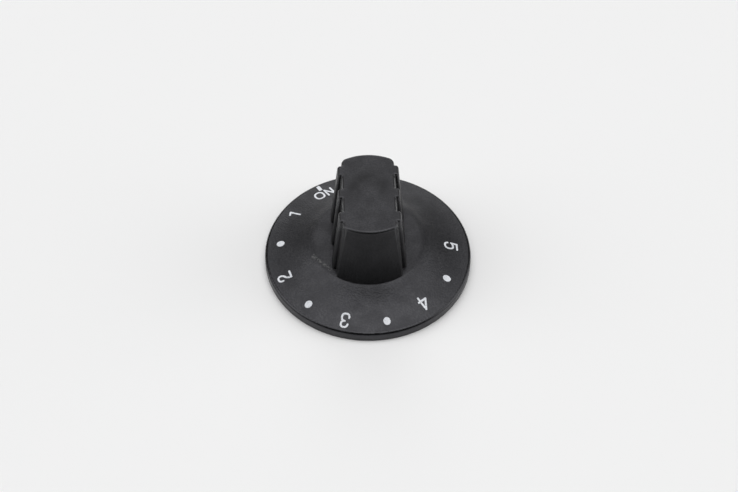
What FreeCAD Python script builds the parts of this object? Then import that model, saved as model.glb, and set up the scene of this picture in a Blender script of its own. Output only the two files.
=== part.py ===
import FreeCAD, Part
import math
import os
import re
import Sketcher

# Rotary control knob: a printed dial skirt, a ribbed finger grip seated in it,
# and the hub inside that takes a 6 mm D-shaped spindle.
# The origin is on the knob's axis at the rim's lower face, +Z points up out of
# the grip, and the grip runs along Y with the dial's zero end at +Y.

doc = FreeCAD.newDocument("control_knob")

# Driving dimensions, in millimetres and degrees
SIZES = [
    ("skirt_radius", 31.0),
    ("rim_height", 3.1),
    ("rim_wall", 1.9),
    ("rim_chamfer", 0.35),
    ("ridge_radius", 16.8),
    ("ridge_height", 8.4),
    ("flare_radius", 36.0),
    ("web_radius", 17.6),
    ("seat_depth", 2.0),
    ("ledge_thickness", 1.6),
    ("ledge_radius", 15.0),
    ("slip_gap", 0.05),
    ("gusset_count", 8),
    ("gusset_thickness", 1.3),
    ("gusset_foot", 2.4),
    ("gusset_rim_foot", 1.0),
    ("gusset_toe", 0.8),
    ("grip_top", 29.9),
    ("grip_end_top", 14.7),
    ("rib_base", 11.0),
    ("rib_top", 8.9),
    ("core_base", 9.7),
    ("core_top", 7.65),
    ("middle_rib_half", 1.85),
    ("end_rib_inner", 6.8),
    ("end_rib_outer", 10.8),
    ("rib_round", 0.9),
    ("end_chamfer", 0.6),
    ("top_chamfer", 0.4),
    ("spigot_wall", 1.75),
    ("spigot_length", 3.0),
    ("roof_thickness", 2.0),
    ("cavity_half", 7.8),
    ("cavity_side", 10.5),
    ("cavity_nose", 4.4),
    ("cavity_end", 12.4),
    ("cavity_draft", 4.5),
    ("boss_radius", 7.4),
    ("key_width", 3.0),
    ("key_depth", 0.8),
    ("ring_thickness", 0.8),
    ("ring_outer", 16.2),
    ("ring_depth", 0.75),
    ("ring_gap_angle", 36.0),
    ("ear_radius", 1.2),
    ("ear_hole", 0.55),
    ("ear_angle", 22.5),
    ("nose_bottom", 0.8),
    ("nose_length", 4.4),
    ("nose_radius", 4.6),
    ("flange_radius", 6.6),
    ("bush_radius", 5.2),
    ("bush_length", 14.6),
    ("bush_key_width", 1.6),
    ("bush_key_depth", 0.9),
    ("spindle_radius", 3.05),
    ("spindle_flat", 1.65),
    ("socket_depth", 18.2),
    ("mouth_chamfer", 0.4),
    ("split_width", 1.0),
    ("clamp_thickness", 0.8),
    ("clamp_width", 2.8),
    ("clamp_slit_angle", 10.0),
    ("leaf_thickness", 0.4),
    ("leaf_width", 3.6),
    ("leaf_pocket_width", 4.0),
    ("leaf_pocket_depth", 4.1),
    ("leaf_pocket_length", 8.6),
    ("leaf_pocket_rise", 0.6),
    ("leaf_eye_radius", 0.75),
    ("leaf_eye_bore", 0.35),
    ("leaf_eye_depth", 3.3),
    ("leaf_eye_rise", 0.3),
    ("leaf_proud", 0.25),
    ("leaf_crown_length", 1.2),
    ("leaf_crown_drop", 4.9),
    ("leaf_tail_drop", 8.2),
    ("leaf_tail_depth", 2.7),
]
sheet = doc.addObject("Spreadsheet::Sheet", "Sizes")
for row, (alias, value) in enumerate(SIZES, start=1):
    sheet.set("A%d" % row, alias)
    sheet.set("B%d" % row, str(value))
    sheet.setAlias("B%d" % row, alias)
doc.recompute()
ALIASES = [alias for alias, value in SIZES]

# Heights and radii that follow from the driving dimensions
SEAT_FLOOR = "(ridge_height - seat_depth)"
LEDGE_FLOOR = "(ridge_height - seat_depth - ledge_thickness)"
SPIGOT_FOOT = "(ridge_height - seat_depth - spigot_length)"
SPIGOT_RADIUS = "(ledge_radius - slip_gap)"
RING_FOOT = "(ridge_height - seat_depth - ledge_thickness - ring_thickness)"
FLANGE_FOOT = "(nose_bottom + nose_length)"
BUSH_TOP = "(ridge_height - seat_depth + bush_length)"
SOCKET_TOP = "(nose_bottom + socket_depth)"
POCKET_FOOT = "(ridge_height - seat_depth + leaf_pocket_rise)"
POCKET_TOP = "(ridge_height - seat_depth + leaf_pocket_rise + leaf_pocket_length)"
EYE_HEIGHT = "(ridge_height - seat_depth + leaf_pocket_rise + leaf_pocket_length + leaf_eye_rise)"


def bound(text):
    """Turn words such as rim_wall into references to the sheet's cells."""
    def reference(word):
        return "Sizes." + word.group() if word.group() in ALIASES else word.group()

    return re.sub(r"[a-z_]+", reference, text)


def number(text):
    """The present value of an expression on the sheet."""
    value = sheet.evalExpression(bound(text))
    return float(getattr(value, "Value", value))


def new_body(name):
    body = doc.addObject("PartDesign::Body", name)
    body.Label = name
    return body


def origin_plane(body, role):
    return [feature for feature in body.Origin.OriginFeatures if feature.Role == role][0]


def new_sketch(body, name, role="XY_Plane", height="0"):
    """An empty sketch on one of the body's origin planes, raised along the plane's normal."""
    sketch = body.newObject("Sketcher::SketchObject", name)
    sketch.AttachmentSupport = [(origin_plane(body, role), "")]
    sketch.MapMode = "FlatFace"
    sketch.setExpression("AttachmentOffset.Base.z", bound(height))
    return sketch


def pin_point(sketch, geometry, place, x, y):
    """Tie one point of the sketch to two expressions."""
    for kind, text in (("DistanceX", x), ("DistanceY", y)):
        index = sketch.addConstraint(Sketcher.Constraint(kind, geometry, place, number(text)))
        sketch.setExpression("Constraints[%d]" % index, bound(text))


def draw_circle(sketch, x, y, radius):
    centre = FreeCAD.Vector(number(x), number(y), 0)
    index = sketch.addGeometry(Part.Circle(centre, FreeCAD.Vector(0, 0, 1), number(radius)), False)
    pin_point(sketch, index, 3, x, y)
    size = sketch.addConstraint(Sketcher.Constraint("Radius", index, number(radius)))
    sketch.setExpression("Constraints[%d]" % size, bound(radius))


def draw_outline(sketch, corners):
    """A closed outline. A corner is (x, y), or (x, y, radius, side) where the edge that
    leaves it is an arc whose centre lies on the left (side 1) or the right (side -1)."""
    points = [FreeCAD.Vector(number(corner[0]), number(corner[1]), 0) for corner in corners]
    ends = []
    for index, corner in enumerate(corners):
        start = points[index]
        finish = points[(index + 1) % len(points)]
        if len(corner) == 2:
            edge = sketch.addGeometry(Part.LineSegment(start, finish), False)
            ends.append((edge, 1, 2))
            continue
        radius, side = number(corner[2]), corner[3]
        chord = finish - start
        reach = math.sqrt(radius ** 2 - (chord.Length / 2) ** 2)
        left = FreeCAD.Vector(-chord.y, chord.x, 0).normalize()
        centre = (start + finish) * 0.5 + left * (side * reach)
        first, last = (start, finish) if side > 0 else (finish, start)
        turn = [math.atan2(point.y - centre.y, point.x - centre.x) for point in (first, last)]
        circle = Part.Circle(centre, FreeCAD.Vector(0, 0, 1), radius)
        edge = sketch.addGeometry(Part.ArcOfCircle(circle, turn[0], turn[1]), False)
        ends.append((edge, 1, 2) if side > 0 else (edge, 2, 1))
        size = sketch.addConstraint(Sketcher.Constraint("Radius", edge, radius))
        sketch.setExpression("Constraints[%d]" % size, bound(corner[2]))
    for index, (edge, start, finish) in enumerate(ends):
        follower = ends[(index + 1) % len(ends)]
        sketch.addConstraint(Sketcher.Constraint("Coincident", edge, finish, follower[0], follower[1]))
        pin_point(sketch, edge, start, corners[index][0], corners[index][1])


def draw_mirrored_outline(sketch, corners):
    """The same outline on both sides of the sketch's vertical axis."""
    draw_outline(sketch, corners)
    draw_outline(sketch, [("-(%s)" % corner[0], corner[1]) for corner in reversed(corners)])


def revolve(body, name, sketch, angle="360", midplane=False):
    feature = body.newObject("PartDesign::Revolution", name)
    feature.Profile = sketch
    feature.ReferenceAxis = (sketch, ["V_Axis"])
    feature.setExpression("Angle", bound(angle))
    feature.Midplane = midplane
    return feature


def pad(body, name, sketch, length, midplane=False):
    feature = body.newObject("PartDesign::Pad", name)
    feature.Profile = sketch
    feature.setExpression("Length", bound(length))
    feature.Midplane = midplane
    return feature


def pocket(body, name, sketch, length, upwards=True, midplane=False):
    """Cut along +Z, or the sketch's own normal, and make sure that material went."""
    doc.recompute()
    before = body.Shape.Volume
    feature = body.newObject("PartDesign::Pocket", name)
    feature.Profile = sketch
    feature.setExpression("Length", bound(length))
    feature.Reversed = upwards
    feature.Midplane = midplane
    doc.recompute()
    if body.Shape.Volume >= before:
        raise RuntimeError("%s cuts nothing" % name)
    return feature


def wedge_cut(body, name, half_x, half_y, foot, height):
    """Cut a hollow with four walls that lean in towards its top by the mould's draft."""
    wedge = body.newObject("PartDesign::SubtractiveWedge", name)
    wedge.AttachmentSupport = [(origin_plane(body, "XY_Plane"), "")]
    wedge.MapMode = "FlatFace"
    upright = FreeCAD.Rotation(FreeCAD.Vector(1, 0, 0), 90)
    wedge.AttachmentOffset = FreeCAD.Placement(FreeCAD.Vector(0, 0, number(foot)), upright)
    wedge.setExpression("AttachmentOffset.Base.z", bound(foot))
    wedge.Ymin = 0
    wedge.setExpression("Ymax", bound(height))
    lean = "%s * tan(cavity_draft * 1deg)" % height
    for axis, half in (("X", half_x), ("Z", half_y)):
        wedge.setExpression(axis + "min", bound("-" + half))
        wedge.setExpression(axis + "max", bound(half))
        wedge.setExpression(axis + "2min", bound("-%s + %s" % (half, lean)))
        wedge.setExpression(axis + "2max", bound("%s - %s" % (half, lean)))
    doc.recompute()
    return wedge


def edges_where(feature, test):
    """The names of a feature's edges whose middle point passes a test."""
    names = []
    for index, edge in enumerate(feature.Shape.Edges, start=1):
        middle = edge.valueAt((edge.FirstParameter + edge.LastParameter) / 2)
        if test(edge, middle):
            names.append("Edge%d" % index)
    return names


def dress(body, kind, name, base, edges, size):
    """Round or chamfer the named edges of a feature."""
    feature = body.newObject("PartDesign::" + kind, name)
    feature.Base = (base, edges)
    feature.setExpression("Radius" if kind == "Fillet" else "Size", bound(size))
    doc.recompute()
    return feature


# An upright edge climbs at least this many times as far as it runs sideways
STEEP = 4


def stands(edge):
    """True for an upright edge."""
    ends = [vertex.Point for vertex in edge.Vertexes]
    if len(ends) < 2:
        return False
    run = ends[1] - ends[0]
    return abs(run.z) > STEEP * math.hypot(run.x, run.y)


def near(value, target, slack=0.02):
    return abs(value - target) < slack


# Dial skirt: a conical ring with a flared top, a stepped seat for the grip and gussets below
def make_dial_skirt():
    body = new_body("dial_skirt")
    profile = new_sketch(body, "skirt_profile", "XZ_Plane")
    inner = "(skirt_radius - rim_wall)"
    draw_outline(profile, [
        (inner, "0"),
        ("skirt_radius", "0"),
        ("skirt_radius", "rim_height - rim_chamfer"),
        ("skirt_radius - rim_chamfer", "rim_height", "flare_radius", -1),
        ("ridge_radius", "ridge_height"),
        ("ridge_radius", SEAT_FLOOR),
        ("ledge_radius", SEAT_FLOOR),
        ("ledge_radius", LEDGE_FLOOR),
        ("web_radius", LEDGE_FLOOR),
        (inner, "rim_height - rim_wall"),
    ])
    revolve(body, "skirt_ring", profile)
    gusset = new_sketch(body, "gusset_profile", "XZ_Plane")
    draw_outline(gusset, [
        ("web_radius - gusset_toe", LEDGE_FLOOR),
        ("web_radius", "gusset_foot"),
        ("skirt_radius - rim_wall / 2", "gusset_rim_foot"),
        ("skirt_radius - rim_wall / 2", "rim_height - rim_chamfer"),
        ("web_radius", SEAT_FLOOR),
    ])
    rib = pad(body, "gusset", gusset, "gusset_thickness", midplane=True)
    fan = body.newObject("PartDesign::PolarPattern", "gussets")
    fan.Originals = [rib]
    fan.Axis = (gusset, ["V_Axis"])
    fan.Angle = 360
    fan.setExpression("Occurrences", bound("gusset_count"))
    body.Tip = fan
    notch = new_sketch(body, "key_notch_outline", height=LEDGE_FLOOR)
    half = "key_width / 2 + slip_gap"
    reach = "ledge_radius + key_depth + slip_gap"
    draw_mirrored_outline(notch, [
        ("ledge_radius - key_depth", "-(%s)" % half),
        (reach, "-(%s)" % half),
        (reach, half),
        ("ledge_radius - key_depth", half),
    ])
    pocket(body, "key_notches", notch, "ledge_thickness")
    return body


# Finger grip: a drafted bar with conical ends and three ribs a side, on a round base with a spigot
def make_grip_body():
    body = new_body("grip_body")
    base = "(ridge_radius - slip_gap)"
    cone = new_sketch(body, "cone_profile", "XZ_Plane")
    draw_outline(cone, [
        ("0", "ridge_height"),
        (base, "ridge_height"),
        ("grip_end_top", "grip_top"),
        ("0", "grip_top"),
    ])
    revolve(body, "turned_cone", cone)

    flanks = new_sketch(body, "flank_outline", "XZ_Plane")
    draw_mirrored_outline(flanks, [
        ("rib_base", "ridge_height"),
        ("skirt_radius", "ridge_height"),
        ("skirt_radius", "grip_top"),
        ("rib_top", "grip_top"),
    ])
    pocket(body, "flanks", flanks, "2 * skirt_radius", midplane=True)

    grooves = [
        ("groove", "middle_rib_half", "end_rib_inner - middle_rib_half"),
        ("shoulder", "end_rib_outer", "skirt_radius - end_rib_outer"),
    ]
    for name, start, length in grooves:
        for end, side in (("front", 1), ("back", -1)):
            outline = new_sketch(body, "%s_%s_outline" % (end, name), "XZ_Plane", "%d * %s" % (side, start))
            draw_mirrored_outline(outline, [
                ("core_base", "ridge_height"),
                ("rib_base + rib_round", "ridge_height"),
                ("rib_top + rib_round", "grip_top"),
                ("core_top", "grip_top"),
            ])
            cut = pocket(body, "%s_%ss" % (end, name), outline, length, upwards=side > 0)

    def on_rib(edge, middle):
        lines = [number(name) for name in ("middle_rib_half", "end_rib_inner", "end_rib_outer")]
        return stands(edge) and any(near(abs(middle.y), line) for line in lines)

    def half_width(kind, height):
        share = (height - number("ridge_height")) / number("grip_top - ridge_height")
        return number(kind + "_base") + share * number("%s_top - %s_base" % (kind, kind))

    outer = edges_where(cut, lambda edge, middle: on_rib(edge, middle)
                        and near(abs(middle.x), half_width("rib", middle.z)))
    rounded = dress(body, "Fillet", "rib_corners", cut, outer, "rib_round")
    ends = edges_where(rounded, lambda edge, middle: stands(edge)
                       and near(abs(middle.x), half_width("core", middle.z))
                       and abs(middle.y) > number("end_rib_outer + rib_round"))
    rounded = dress(body, "Chamfer", "end_corners", rounded, ends, "end_chamfer")
    rim = edges_where(rounded, lambda edge, middle: near(middle.z, number("grip_top")))
    dress(body, "Chamfer", "top_edge", rounded, rim, "top_chamfer")

    plate = new_sketch(body, "base_profile", "XZ_Plane")
    groove = "(ledge_radius - ring_depth)"
    draw_outline(plate, [
        ("0", SPIGOT_FOOT),
        (SPIGOT_RADIUS, SPIGOT_FOOT),
        (SPIGOT_RADIUS, RING_FOOT),
        (groove, RING_FOOT),
        (groove, LEDGE_FLOOR),
        (SPIGOT_RADIUS, LEDGE_FLOOR),
        (SPIGOT_RADIUS, SEAT_FLOOR),
        (base, SEAT_FLOOR),
        (base, "ridge_height"),
        ("0", "ridge_height"),
    ])
    revolve(body, "round_base", plate)
    recess = new_sketch(body, "recess_outline", height=SPIGOT_FOOT)
    draw_circle(recess, "0", "0", "ledge_radius - slip_gap - spigot_wall")
    pocket(body, "spigot_recess", recess, "spigot_length")
    roof = "(grip_top - roof_thickness - %s)" % SEAT_FLOOR
    wedge_cut(body, "grip_cavity", "cavity_half", "cavity_side", SEAT_FLOOR, roof)
    wedge_cut(body, "cavity_noses", "cavity_nose", "cavity_end", SEAT_FLOOR, roof)
    boss = new_sketch(body, "boss_outline", height=SEAT_FLOOR)
    draw_circle(boss, "0", "0", "boss_radius")
    pad(body, "hub_boss", boss, roof + " + roof_thickness / 2")
    bore = new_sketch(body, "bush_bore_outline", height=SEAT_FLOOR)
    draw_circle(bore, "0", "0", "bush_radius + slip_gap / 2")
    pocket(body, "bush_bore", bore, "bush_length + slip_gap")
    keyway = new_sketch(body, "keyway_outline", height=SEAT_FLOOR)
    draw_mirrored_outline(keyway, [
        ("bush_radius - bush_key_depth", "-(bush_key_width + slip_gap) / 2"),
        ("bush_radius + bush_key_depth + slip_gap", "-(bush_key_width + slip_gap) / 2"),
        ("bush_radius + bush_key_depth + slip_gap", "(bush_key_width + slip_gap) / 2"),
        ("bush_radius - bush_key_depth", "(bush_key_width + slip_gap) / 2"),
    ])
    pocket(body, "bush_keyways", keyway, "bush_length / 2 + slip_gap")

    keys = new_sketch(body, "dial_key_outline", height=LEDGE_FLOOR)
    draw_mirrored_outline(keys, [
        ("ledge_radius - key_depth", "-key_width / 2"),
        ("ledge_radius + key_depth", "-key_width / 2"),
        ("ledge_radius + key_depth", "key_width / 2"),
        ("ledge_radius - key_depth", "key_width / 2"),
    ])
    pad(body, "dial_keys", keys, "ledge_thickness")
    return body


# Hub bush: a flanged insert with a split nose, a round mouth and a D-shaped socket
def make_shaft_bush():
    body = new_body("shaft_bush")
    profile = new_sketch(body, "bush_profile", "XZ_Plane")
    draw_outline(profile, [
        ("0", "nose_bottom"),
        ("nose_radius", "nose_bottom"),
        ("nose_radius", FLANGE_FOOT),
        ("flange_radius", FLANGE_FOOT),
        ("flange_radius", SEAT_FLOOR),
        ("bush_radius", SEAT_FLOOR),
        ("bush_radius", BUSH_TOP),
        ("0", BUSH_TOP),
    ])
    revolve(body, "bush_blank", profile)
    mouth = new_sketch(body, "mouth_outline", height="nose_bottom")
    draw_circle(mouth, "0", "0", "spindle_radius")
    opened = pocket(body, "round_mouth", mouth, "nose_length")
    lip = edges_where(opened, lambda edge, middle: near(middle.z, number("nose_bottom"))
                      and near(math.hypot(middle.x, middle.y), number("spindle_radius")))
    dress(body, "Chamfer", "mouth_lead_in", opened, lip, "mouth_chamfer")
    socket = new_sketch(body, "socket_outline", height=FLANGE_FOOT)
    half_flat = "sqrt(spindle_radius * spindle_radius - spindle_flat * spindle_flat)"
    draw_outline(socket, [
        ("-(%s)" % half_flat, "-spindle_flat"),
        (half_flat, "-spindle_flat", "spindle_radius", 1),
    ])
    pocket(body, "d_socket", socket, "%s - %s" % (SOCKET_TOP, FLANGE_FOOT))
    spring_pocket = new_sketch(body, "leaf_pocket_outline", "YZ_Plane")
    draw_outline(spring_pocket, [
        ("-leaf_pocket_depth", POCKET_FOOT),
        ("-spindle_flat / 2", POCKET_FOOT),
        ("-spindle_flat / 2", POCKET_TOP),
        ("-leaf_pocket_depth", POCKET_TOP),
    ])
    pocket(body, "leaf_pocket", spring_pocket, "leaf_pocket_width", midplane=True)
    seat = new_sketch(body, "eye_seat_outline", "YZ_Plane")
    draw_circle(seat, "-leaf_eye_depth", EYE_HEIGHT, "leaf_eye_radius + slip_gap")
    pocket(body, "eye_seat", seat, "leaf_pocket_width", midplane=True)
    split = new_sketch(body, "split_outline", "YZ_Plane")
    draw_outline(split, [
        ("-split_width / 2", "0"),
        ("split_width / 2", "0"),
        ("split_width / 2", FLANGE_FOOT),
        ("-split_width / 2", FLANGE_FOOT),
    ])
    pocket(body, "nose_splits", split, "2 * flange_radius", midplane=True)
    keys = new_sketch(body, "bush_key_outline", height=SEAT_FLOOR)
    draw_mirrored_outline(keys, [
        ("bush_radius - bush_key_depth", "-bush_key_width / 2"),
        ("bush_radius + bush_key_depth", "-bush_key_width / 2"),
        ("bush_radius + bush_key_depth", "bush_key_width / 2"),
        ("bush_radius - bush_key_depth", "bush_key_width / 2"),
    ])
    pad(body, "bush_keys", keys, "bush_length / 2")
    return body


# Leaf spring: a bent steel strip with a rolled eye, proud of the socket's flat
def make_leaf_spring():
    body = new_body("leaf_spring")
    eye = new_sketch(body, "eye_outline", "YZ_Plane")
    draw_circle(eye, "-leaf_eye_depth", EYE_HEIGHT, "leaf_eye_radius")
    draw_circle(eye, "-leaf_eye_depth", EYE_HEIGHT, "leaf_eye_bore")
    pad(body, "rolled_eye", eye, "leaf_width", midplane=True)
    leaf = new_sketch(body, "leaf_outline", "YZ_Plane")
    front = "(leaf_proud - spindle_flat)"
    root = EYE_HEIGHT + " - (leaf_eye_radius + leaf_eye_bore) / 2"
    crown_top = EYE_HEIGHT + " - leaf_crown_drop + leaf_crown_length / 2"
    crown_foot = EYE_HEIGHT + " - leaf_crown_drop - leaf_crown_length / 2"
    tail = EYE_HEIGHT + " - leaf_tail_drop"
    draw_outline(leaf, [
        ("-leaf_eye_depth - leaf_thickness / 2", root),
        (front + " - leaf_thickness", crown_top),
        (front + " - leaf_thickness", crown_foot),
        ("-leaf_tail_depth - leaf_thickness", tail),
        ("-leaf_tail_depth", tail),
        (front, crown_foot),
        (front, crown_top),
        ("-leaf_eye_depth + leaf_thickness / 2", root),
    ])
    pad(body, "leaf", leaf, "leaf_width", midplane=True)
    return body


# Clamp ring: a rolled steel band that keeps the split nose closed on the spindle
def make_hub_clamp_ring():
    body = new_body("hub_clamp_ring")
    profile = new_sketch(body, "clamp_profile", "XZ_Plane")
    inner = "(nose_radius + slip_gap / 2)"
    foot = "(nose_bottom + (nose_length - clamp_width) / 2)"
    draw_outline(profile, [
        (inner, foot),
        (inner + " + clamp_thickness", foot),
        (inner + " + clamp_thickness", foot + " + clamp_width"),
        (inner, foot + " + clamp_width"),
    ])
    revolve(body, "rolled_band", profile, "360 - clamp_slit_angle", midplane=True)
    return body


# Retaining ring: an external circlip in the spigot's groove that holds the skirt on the grip
def make_dial_retaining_ring():
    body = new_body("dial_retaining_ring")
    profile = new_sketch(body, "ring_profile", "XZ_Plane")
    inner = "(ledge_radius - ring_depth + slip_gap)"
    top = "(%s - slip_gap / 2)" % LEDGE_FLOOR
    foot = "(%s + slip_gap / 2)" % RING_FOOT
    draw_outline(profile, [
        (inner, foot),
        ("ring_outer", foot),
        ("ring_outer", top),
        (inner, top),
    ])
    revolve(body, "split_ring", profile, "360 - ring_gap_angle", midplane=True)
    middle = "(ledge_radius + ring_outer) / 2"
    for kind, radius in (("ears", "ear_radius"), ("ear_holes", "ear_hole")):
        outline = new_sketch(body, kind + "_outline", height=foot)
        for side in ("", "-"):
            draw_circle(outline, "-%s * cos(ear_angle * 1deg)" % middle,
                        "%s%s * sin(ear_angle * 1deg)" % (side, middle), radius)
        if kind == "ears":
            pad(body, kind, outline, "ring_thickness - slip_gap")
        else:
            pocket(body, kind, outline, "ring_thickness")
    return body


MAKERS = [
    make_dial_skirt,
    make_grip_body,
    make_shaft_bush,
    make_leaf_spring,
    make_hub_clamp_ring,
    make_dial_retaining_ring,
]
bodies = [maker() for maker in MAKERS]
doc.recompute()

for thing in doc.Objects:
    if "Invalid" in thing.State or "Error" in thing.State:
        raise RuntimeError("%s did not build: %s" % (thing.Name, thing.State))
for body in bodies:
    if body.Shape.isNull() or not body.Shape.isValid():
        raise RuntimeError("%s has no valid shape" % body.Label)

os.makedirs("parts", exist_ok=True)
for body in bodies:
    body.Shape.exportStep("parts/%s.step" % body.Label)
    print("%-20s %d solid(s) %10.1f mm3" % (body.Label, len(body.Shape.Solids), body.Shape.Volume))
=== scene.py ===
# %% [markdown]
# # A control knob with a printed dial
#
# The knob is two black mouldings: a flared dial skirt and a tall finger bar on a round base.
# Underneath, a nylon bush takes the control's spindle, a leaf spring takes up the play, a steel
# band holds the bush's split nose and a circlip holds the skirt on the bar's spigot.
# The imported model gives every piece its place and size. Here each piece is modelled again with
# the soft edges and the finishes that catch the light, in metres and in the same frame.

import math

import bmesh
import bpy
from mathutils import Matrix, Vector


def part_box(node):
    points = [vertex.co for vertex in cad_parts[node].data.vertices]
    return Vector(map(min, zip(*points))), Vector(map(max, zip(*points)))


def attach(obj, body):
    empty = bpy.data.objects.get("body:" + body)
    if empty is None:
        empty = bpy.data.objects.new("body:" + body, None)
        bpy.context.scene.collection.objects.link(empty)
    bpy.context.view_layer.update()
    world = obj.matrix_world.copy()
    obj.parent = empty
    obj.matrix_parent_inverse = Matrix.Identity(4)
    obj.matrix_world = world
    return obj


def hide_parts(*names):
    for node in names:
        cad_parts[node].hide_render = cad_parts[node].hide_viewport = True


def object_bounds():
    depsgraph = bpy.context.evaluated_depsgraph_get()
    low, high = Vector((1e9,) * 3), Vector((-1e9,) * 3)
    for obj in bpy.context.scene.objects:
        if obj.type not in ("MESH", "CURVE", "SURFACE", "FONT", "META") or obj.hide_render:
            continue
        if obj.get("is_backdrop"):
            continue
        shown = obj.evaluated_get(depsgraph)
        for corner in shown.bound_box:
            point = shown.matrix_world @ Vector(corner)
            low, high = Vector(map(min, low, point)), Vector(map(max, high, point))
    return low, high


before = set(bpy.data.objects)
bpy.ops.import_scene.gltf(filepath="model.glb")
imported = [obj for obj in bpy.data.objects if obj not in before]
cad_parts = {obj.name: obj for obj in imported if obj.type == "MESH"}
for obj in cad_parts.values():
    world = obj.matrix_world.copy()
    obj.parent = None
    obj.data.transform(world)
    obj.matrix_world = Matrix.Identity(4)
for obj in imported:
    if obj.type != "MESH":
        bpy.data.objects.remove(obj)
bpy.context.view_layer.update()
print("nodes:", ", ".join(sorted(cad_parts)))

# %% [markdown]
# ## Sizes
#
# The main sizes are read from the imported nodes' boxes, so they can't drift from the solids.
# The others are the mouldings' own wall, step and radius sizes, written in millimetres.

# %% Main sizes
MM = 0.001
TINY = 0.001 * MM
FULL_TURN = 2 * math.pi

skirt_high = Vector(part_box("dial_skirt")[1])
grip_low, grip_high = [Vector(corner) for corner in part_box("grip_body")]
bush_low, bush_high = [Vector(corner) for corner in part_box("shaft_bush")]

RIM_RADIUS = skirt_high.x
RIDGE_HEIGHT = skirt_high.z
BASE_RADIUS = grip_high.x
GRIP_TOP = grip_high.z
SPIGOT_FOOT = grip_low.z
SEAT_FLOOR = RIDGE_HEIGHT - 2.0 * MM
LEDGE_FLOOR = SEAT_FLOOR - 1.6 * MM
print("rim %.1f mm across, %.1f mm tall" % (2 * RIM_RADIUS / MM, GRIP_TOP / MM))

# %% [markdown]
# ## The upper skin
#
# The flat land around the bar, the soft ridge and the hollow flare down to the rim are one
# continuous skin, shared by the base, the skirt and the ink. One function gives its height at a
# radius: a circle that is hollow towards the sky for the flare, and a small round for the ridge.

# %% Height of the upper skin
RIM_HEIGHT = 3.1 * MM
RIM_EDGE_RADIUS = RIM_RADIUS - 0.35 * MM
RIDGE_RADIUS = 16.8 * MM
FLARE_RADIUS = 36 * MM
RIDGE_ROUND = 5.0 * MM

flare_chord = Vector((RIM_EDGE_RADIUS - RIDGE_RADIUS, RIM_HEIGHT - RIDGE_HEIGHT))
flare_middle = Vector((RIM_EDGE_RADIUS + RIDGE_RADIUS, RIM_HEIGHT + RIDGE_HEIGHT)) / 2
flare_reach = math.sqrt(FLARE_RADIUS ** 2 - flare_chord.length_squared / 4)
flare_side = Vector((-flare_chord.y, flare_chord.x)).normalized()
flare_centre = flare_middle + flare_side * flare_reach

ridge_slope = math.asin((flare_centre.x - RIDGE_RADIUS) / FLARE_RADIUS)
ROUND_START = RIDGE_RADIUS - RIDGE_ROUND * math.tan(ridge_slope / 2)
ROUND_END = ROUND_START + RIDGE_ROUND * math.sin(ridge_slope)


def skin_height(radius):
    """Height of the knob's upper skin: flat land, soft ridge, then the hollow flare."""
    if radius <= ROUND_START:
        return RIDGE_HEIGHT
    if radius < ROUND_END:
        rise = math.sqrt(RIDGE_ROUND ** 2 - (radius - ROUND_START) ** 2)
        return RIDGE_HEIGHT - RIDGE_ROUND + rise
    return flare_centre.y - math.sqrt(FLARE_RADIUS ** 2 - (flare_centre.x - radius) ** 2)


print("ridge slope %.1f degrees, rim edge at %.2f mm"
      % (math.degrees(ridge_slope), skin_height(RIM_RADIUS) / MM))

# %% [markdown]
# ## Mesh helpers
#
# Nearly every piece here was turned, moulded or rolled, so a few helpers go a long way. A
# closed outline is spun about the knob's axis after its corners are rounded. Pockets and bosses
# are joined on or cut out with exact booleans, whose result is kept as a plain mesh. A boolean
# can leave points that coincide, so its result is welded until no face without an area is left.

# %% New pieces and booleans
def whole(bm):
    """All the parts of a bmesh, for the operators that take any of them."""
    return bm.verts[:] + bm.edges[:] + bm.faces[:]


def only(items, kind):
    """The items of one kind in an operator's result."""
    return [item for item in items if isinstance(item, kind)]


def soften(bm, items, size, steps, affect="VERTICES"):
    """Round some corners, or some edges, by a size."""
    bmesh.ops.bevel(bm, geom=items, offset=size, affect=affect, segments=steps, profile=0.5,
                    material=-1)


def new_piece(bm, name):
    """Turn a bmesh into an object at the origin."""
    mesh = bpy.data.meshes.new(name)
    bm.to_mesh(mesh)
    bm.free()
    piece = bpy.data.objects.new(name, mesh)
    bpy.context.scene.collection.objects.link(piece)
    return piece


def weld(bm):
    """Merge points that coincide, and dissolve the faces that this leaves without an area."""
    bmesh.ops.remove_doubles(bm, verts=bm.verts[:], dist=TINY)
    bmesh.ops.dissolve_degenerate(bm, edges=bm.edges[:], dist=TINY)


def carve(piece, operation, *tools):
    """Cut tools out of a piece (DIFFERENCE) or join them on (UNION). The tools are used up."""
    for tool in tools:
        step = piece.modifiers.new("Carve", "BOOLEAN")
        step.operation = operation
        step.solver = "EXACT"
        step.object = tool
        graph = bpy.context.evaluated_depsgraph_get()
        carved = bpy.data.meshes.new_from_object(piece.evaluated_get(graph))
        piece.modifiers.remove(step)
        before = piece.data
        piece.data = carved
        bpy.data.meshes.remove(before)
        bpy.data.meshes.remove(tool.data)
    bm = bmesh.new()
    bm.from_mesh(piece.data)
    weld(bm)
    bm.to_mesh(piece.data)
    bm.free()
    piece.data.name = piece.name
    return piece


def report(piece):
    """Print how many faces a piece has, and how many of its edges are open."""
    bm = bmesh.new()
    bm.from_mesh(piece.data)
    open_edges = sum(1 for edge in bm.edges if not edge.is_manifold)
    print("%s: %d faces, %d open edges" % (piece.name, len(bm.faces), open_edges))
    bm.free()


# %% Turned shapes
TURN_STEPS = 240
ROUND_STEPS = 4


def vert_at(bm, *place):
    """The vertex that is nearest to a place."""
    return min(bm.verts, key=lambda vert: (vert.co - Vector(place)).length)


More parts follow.
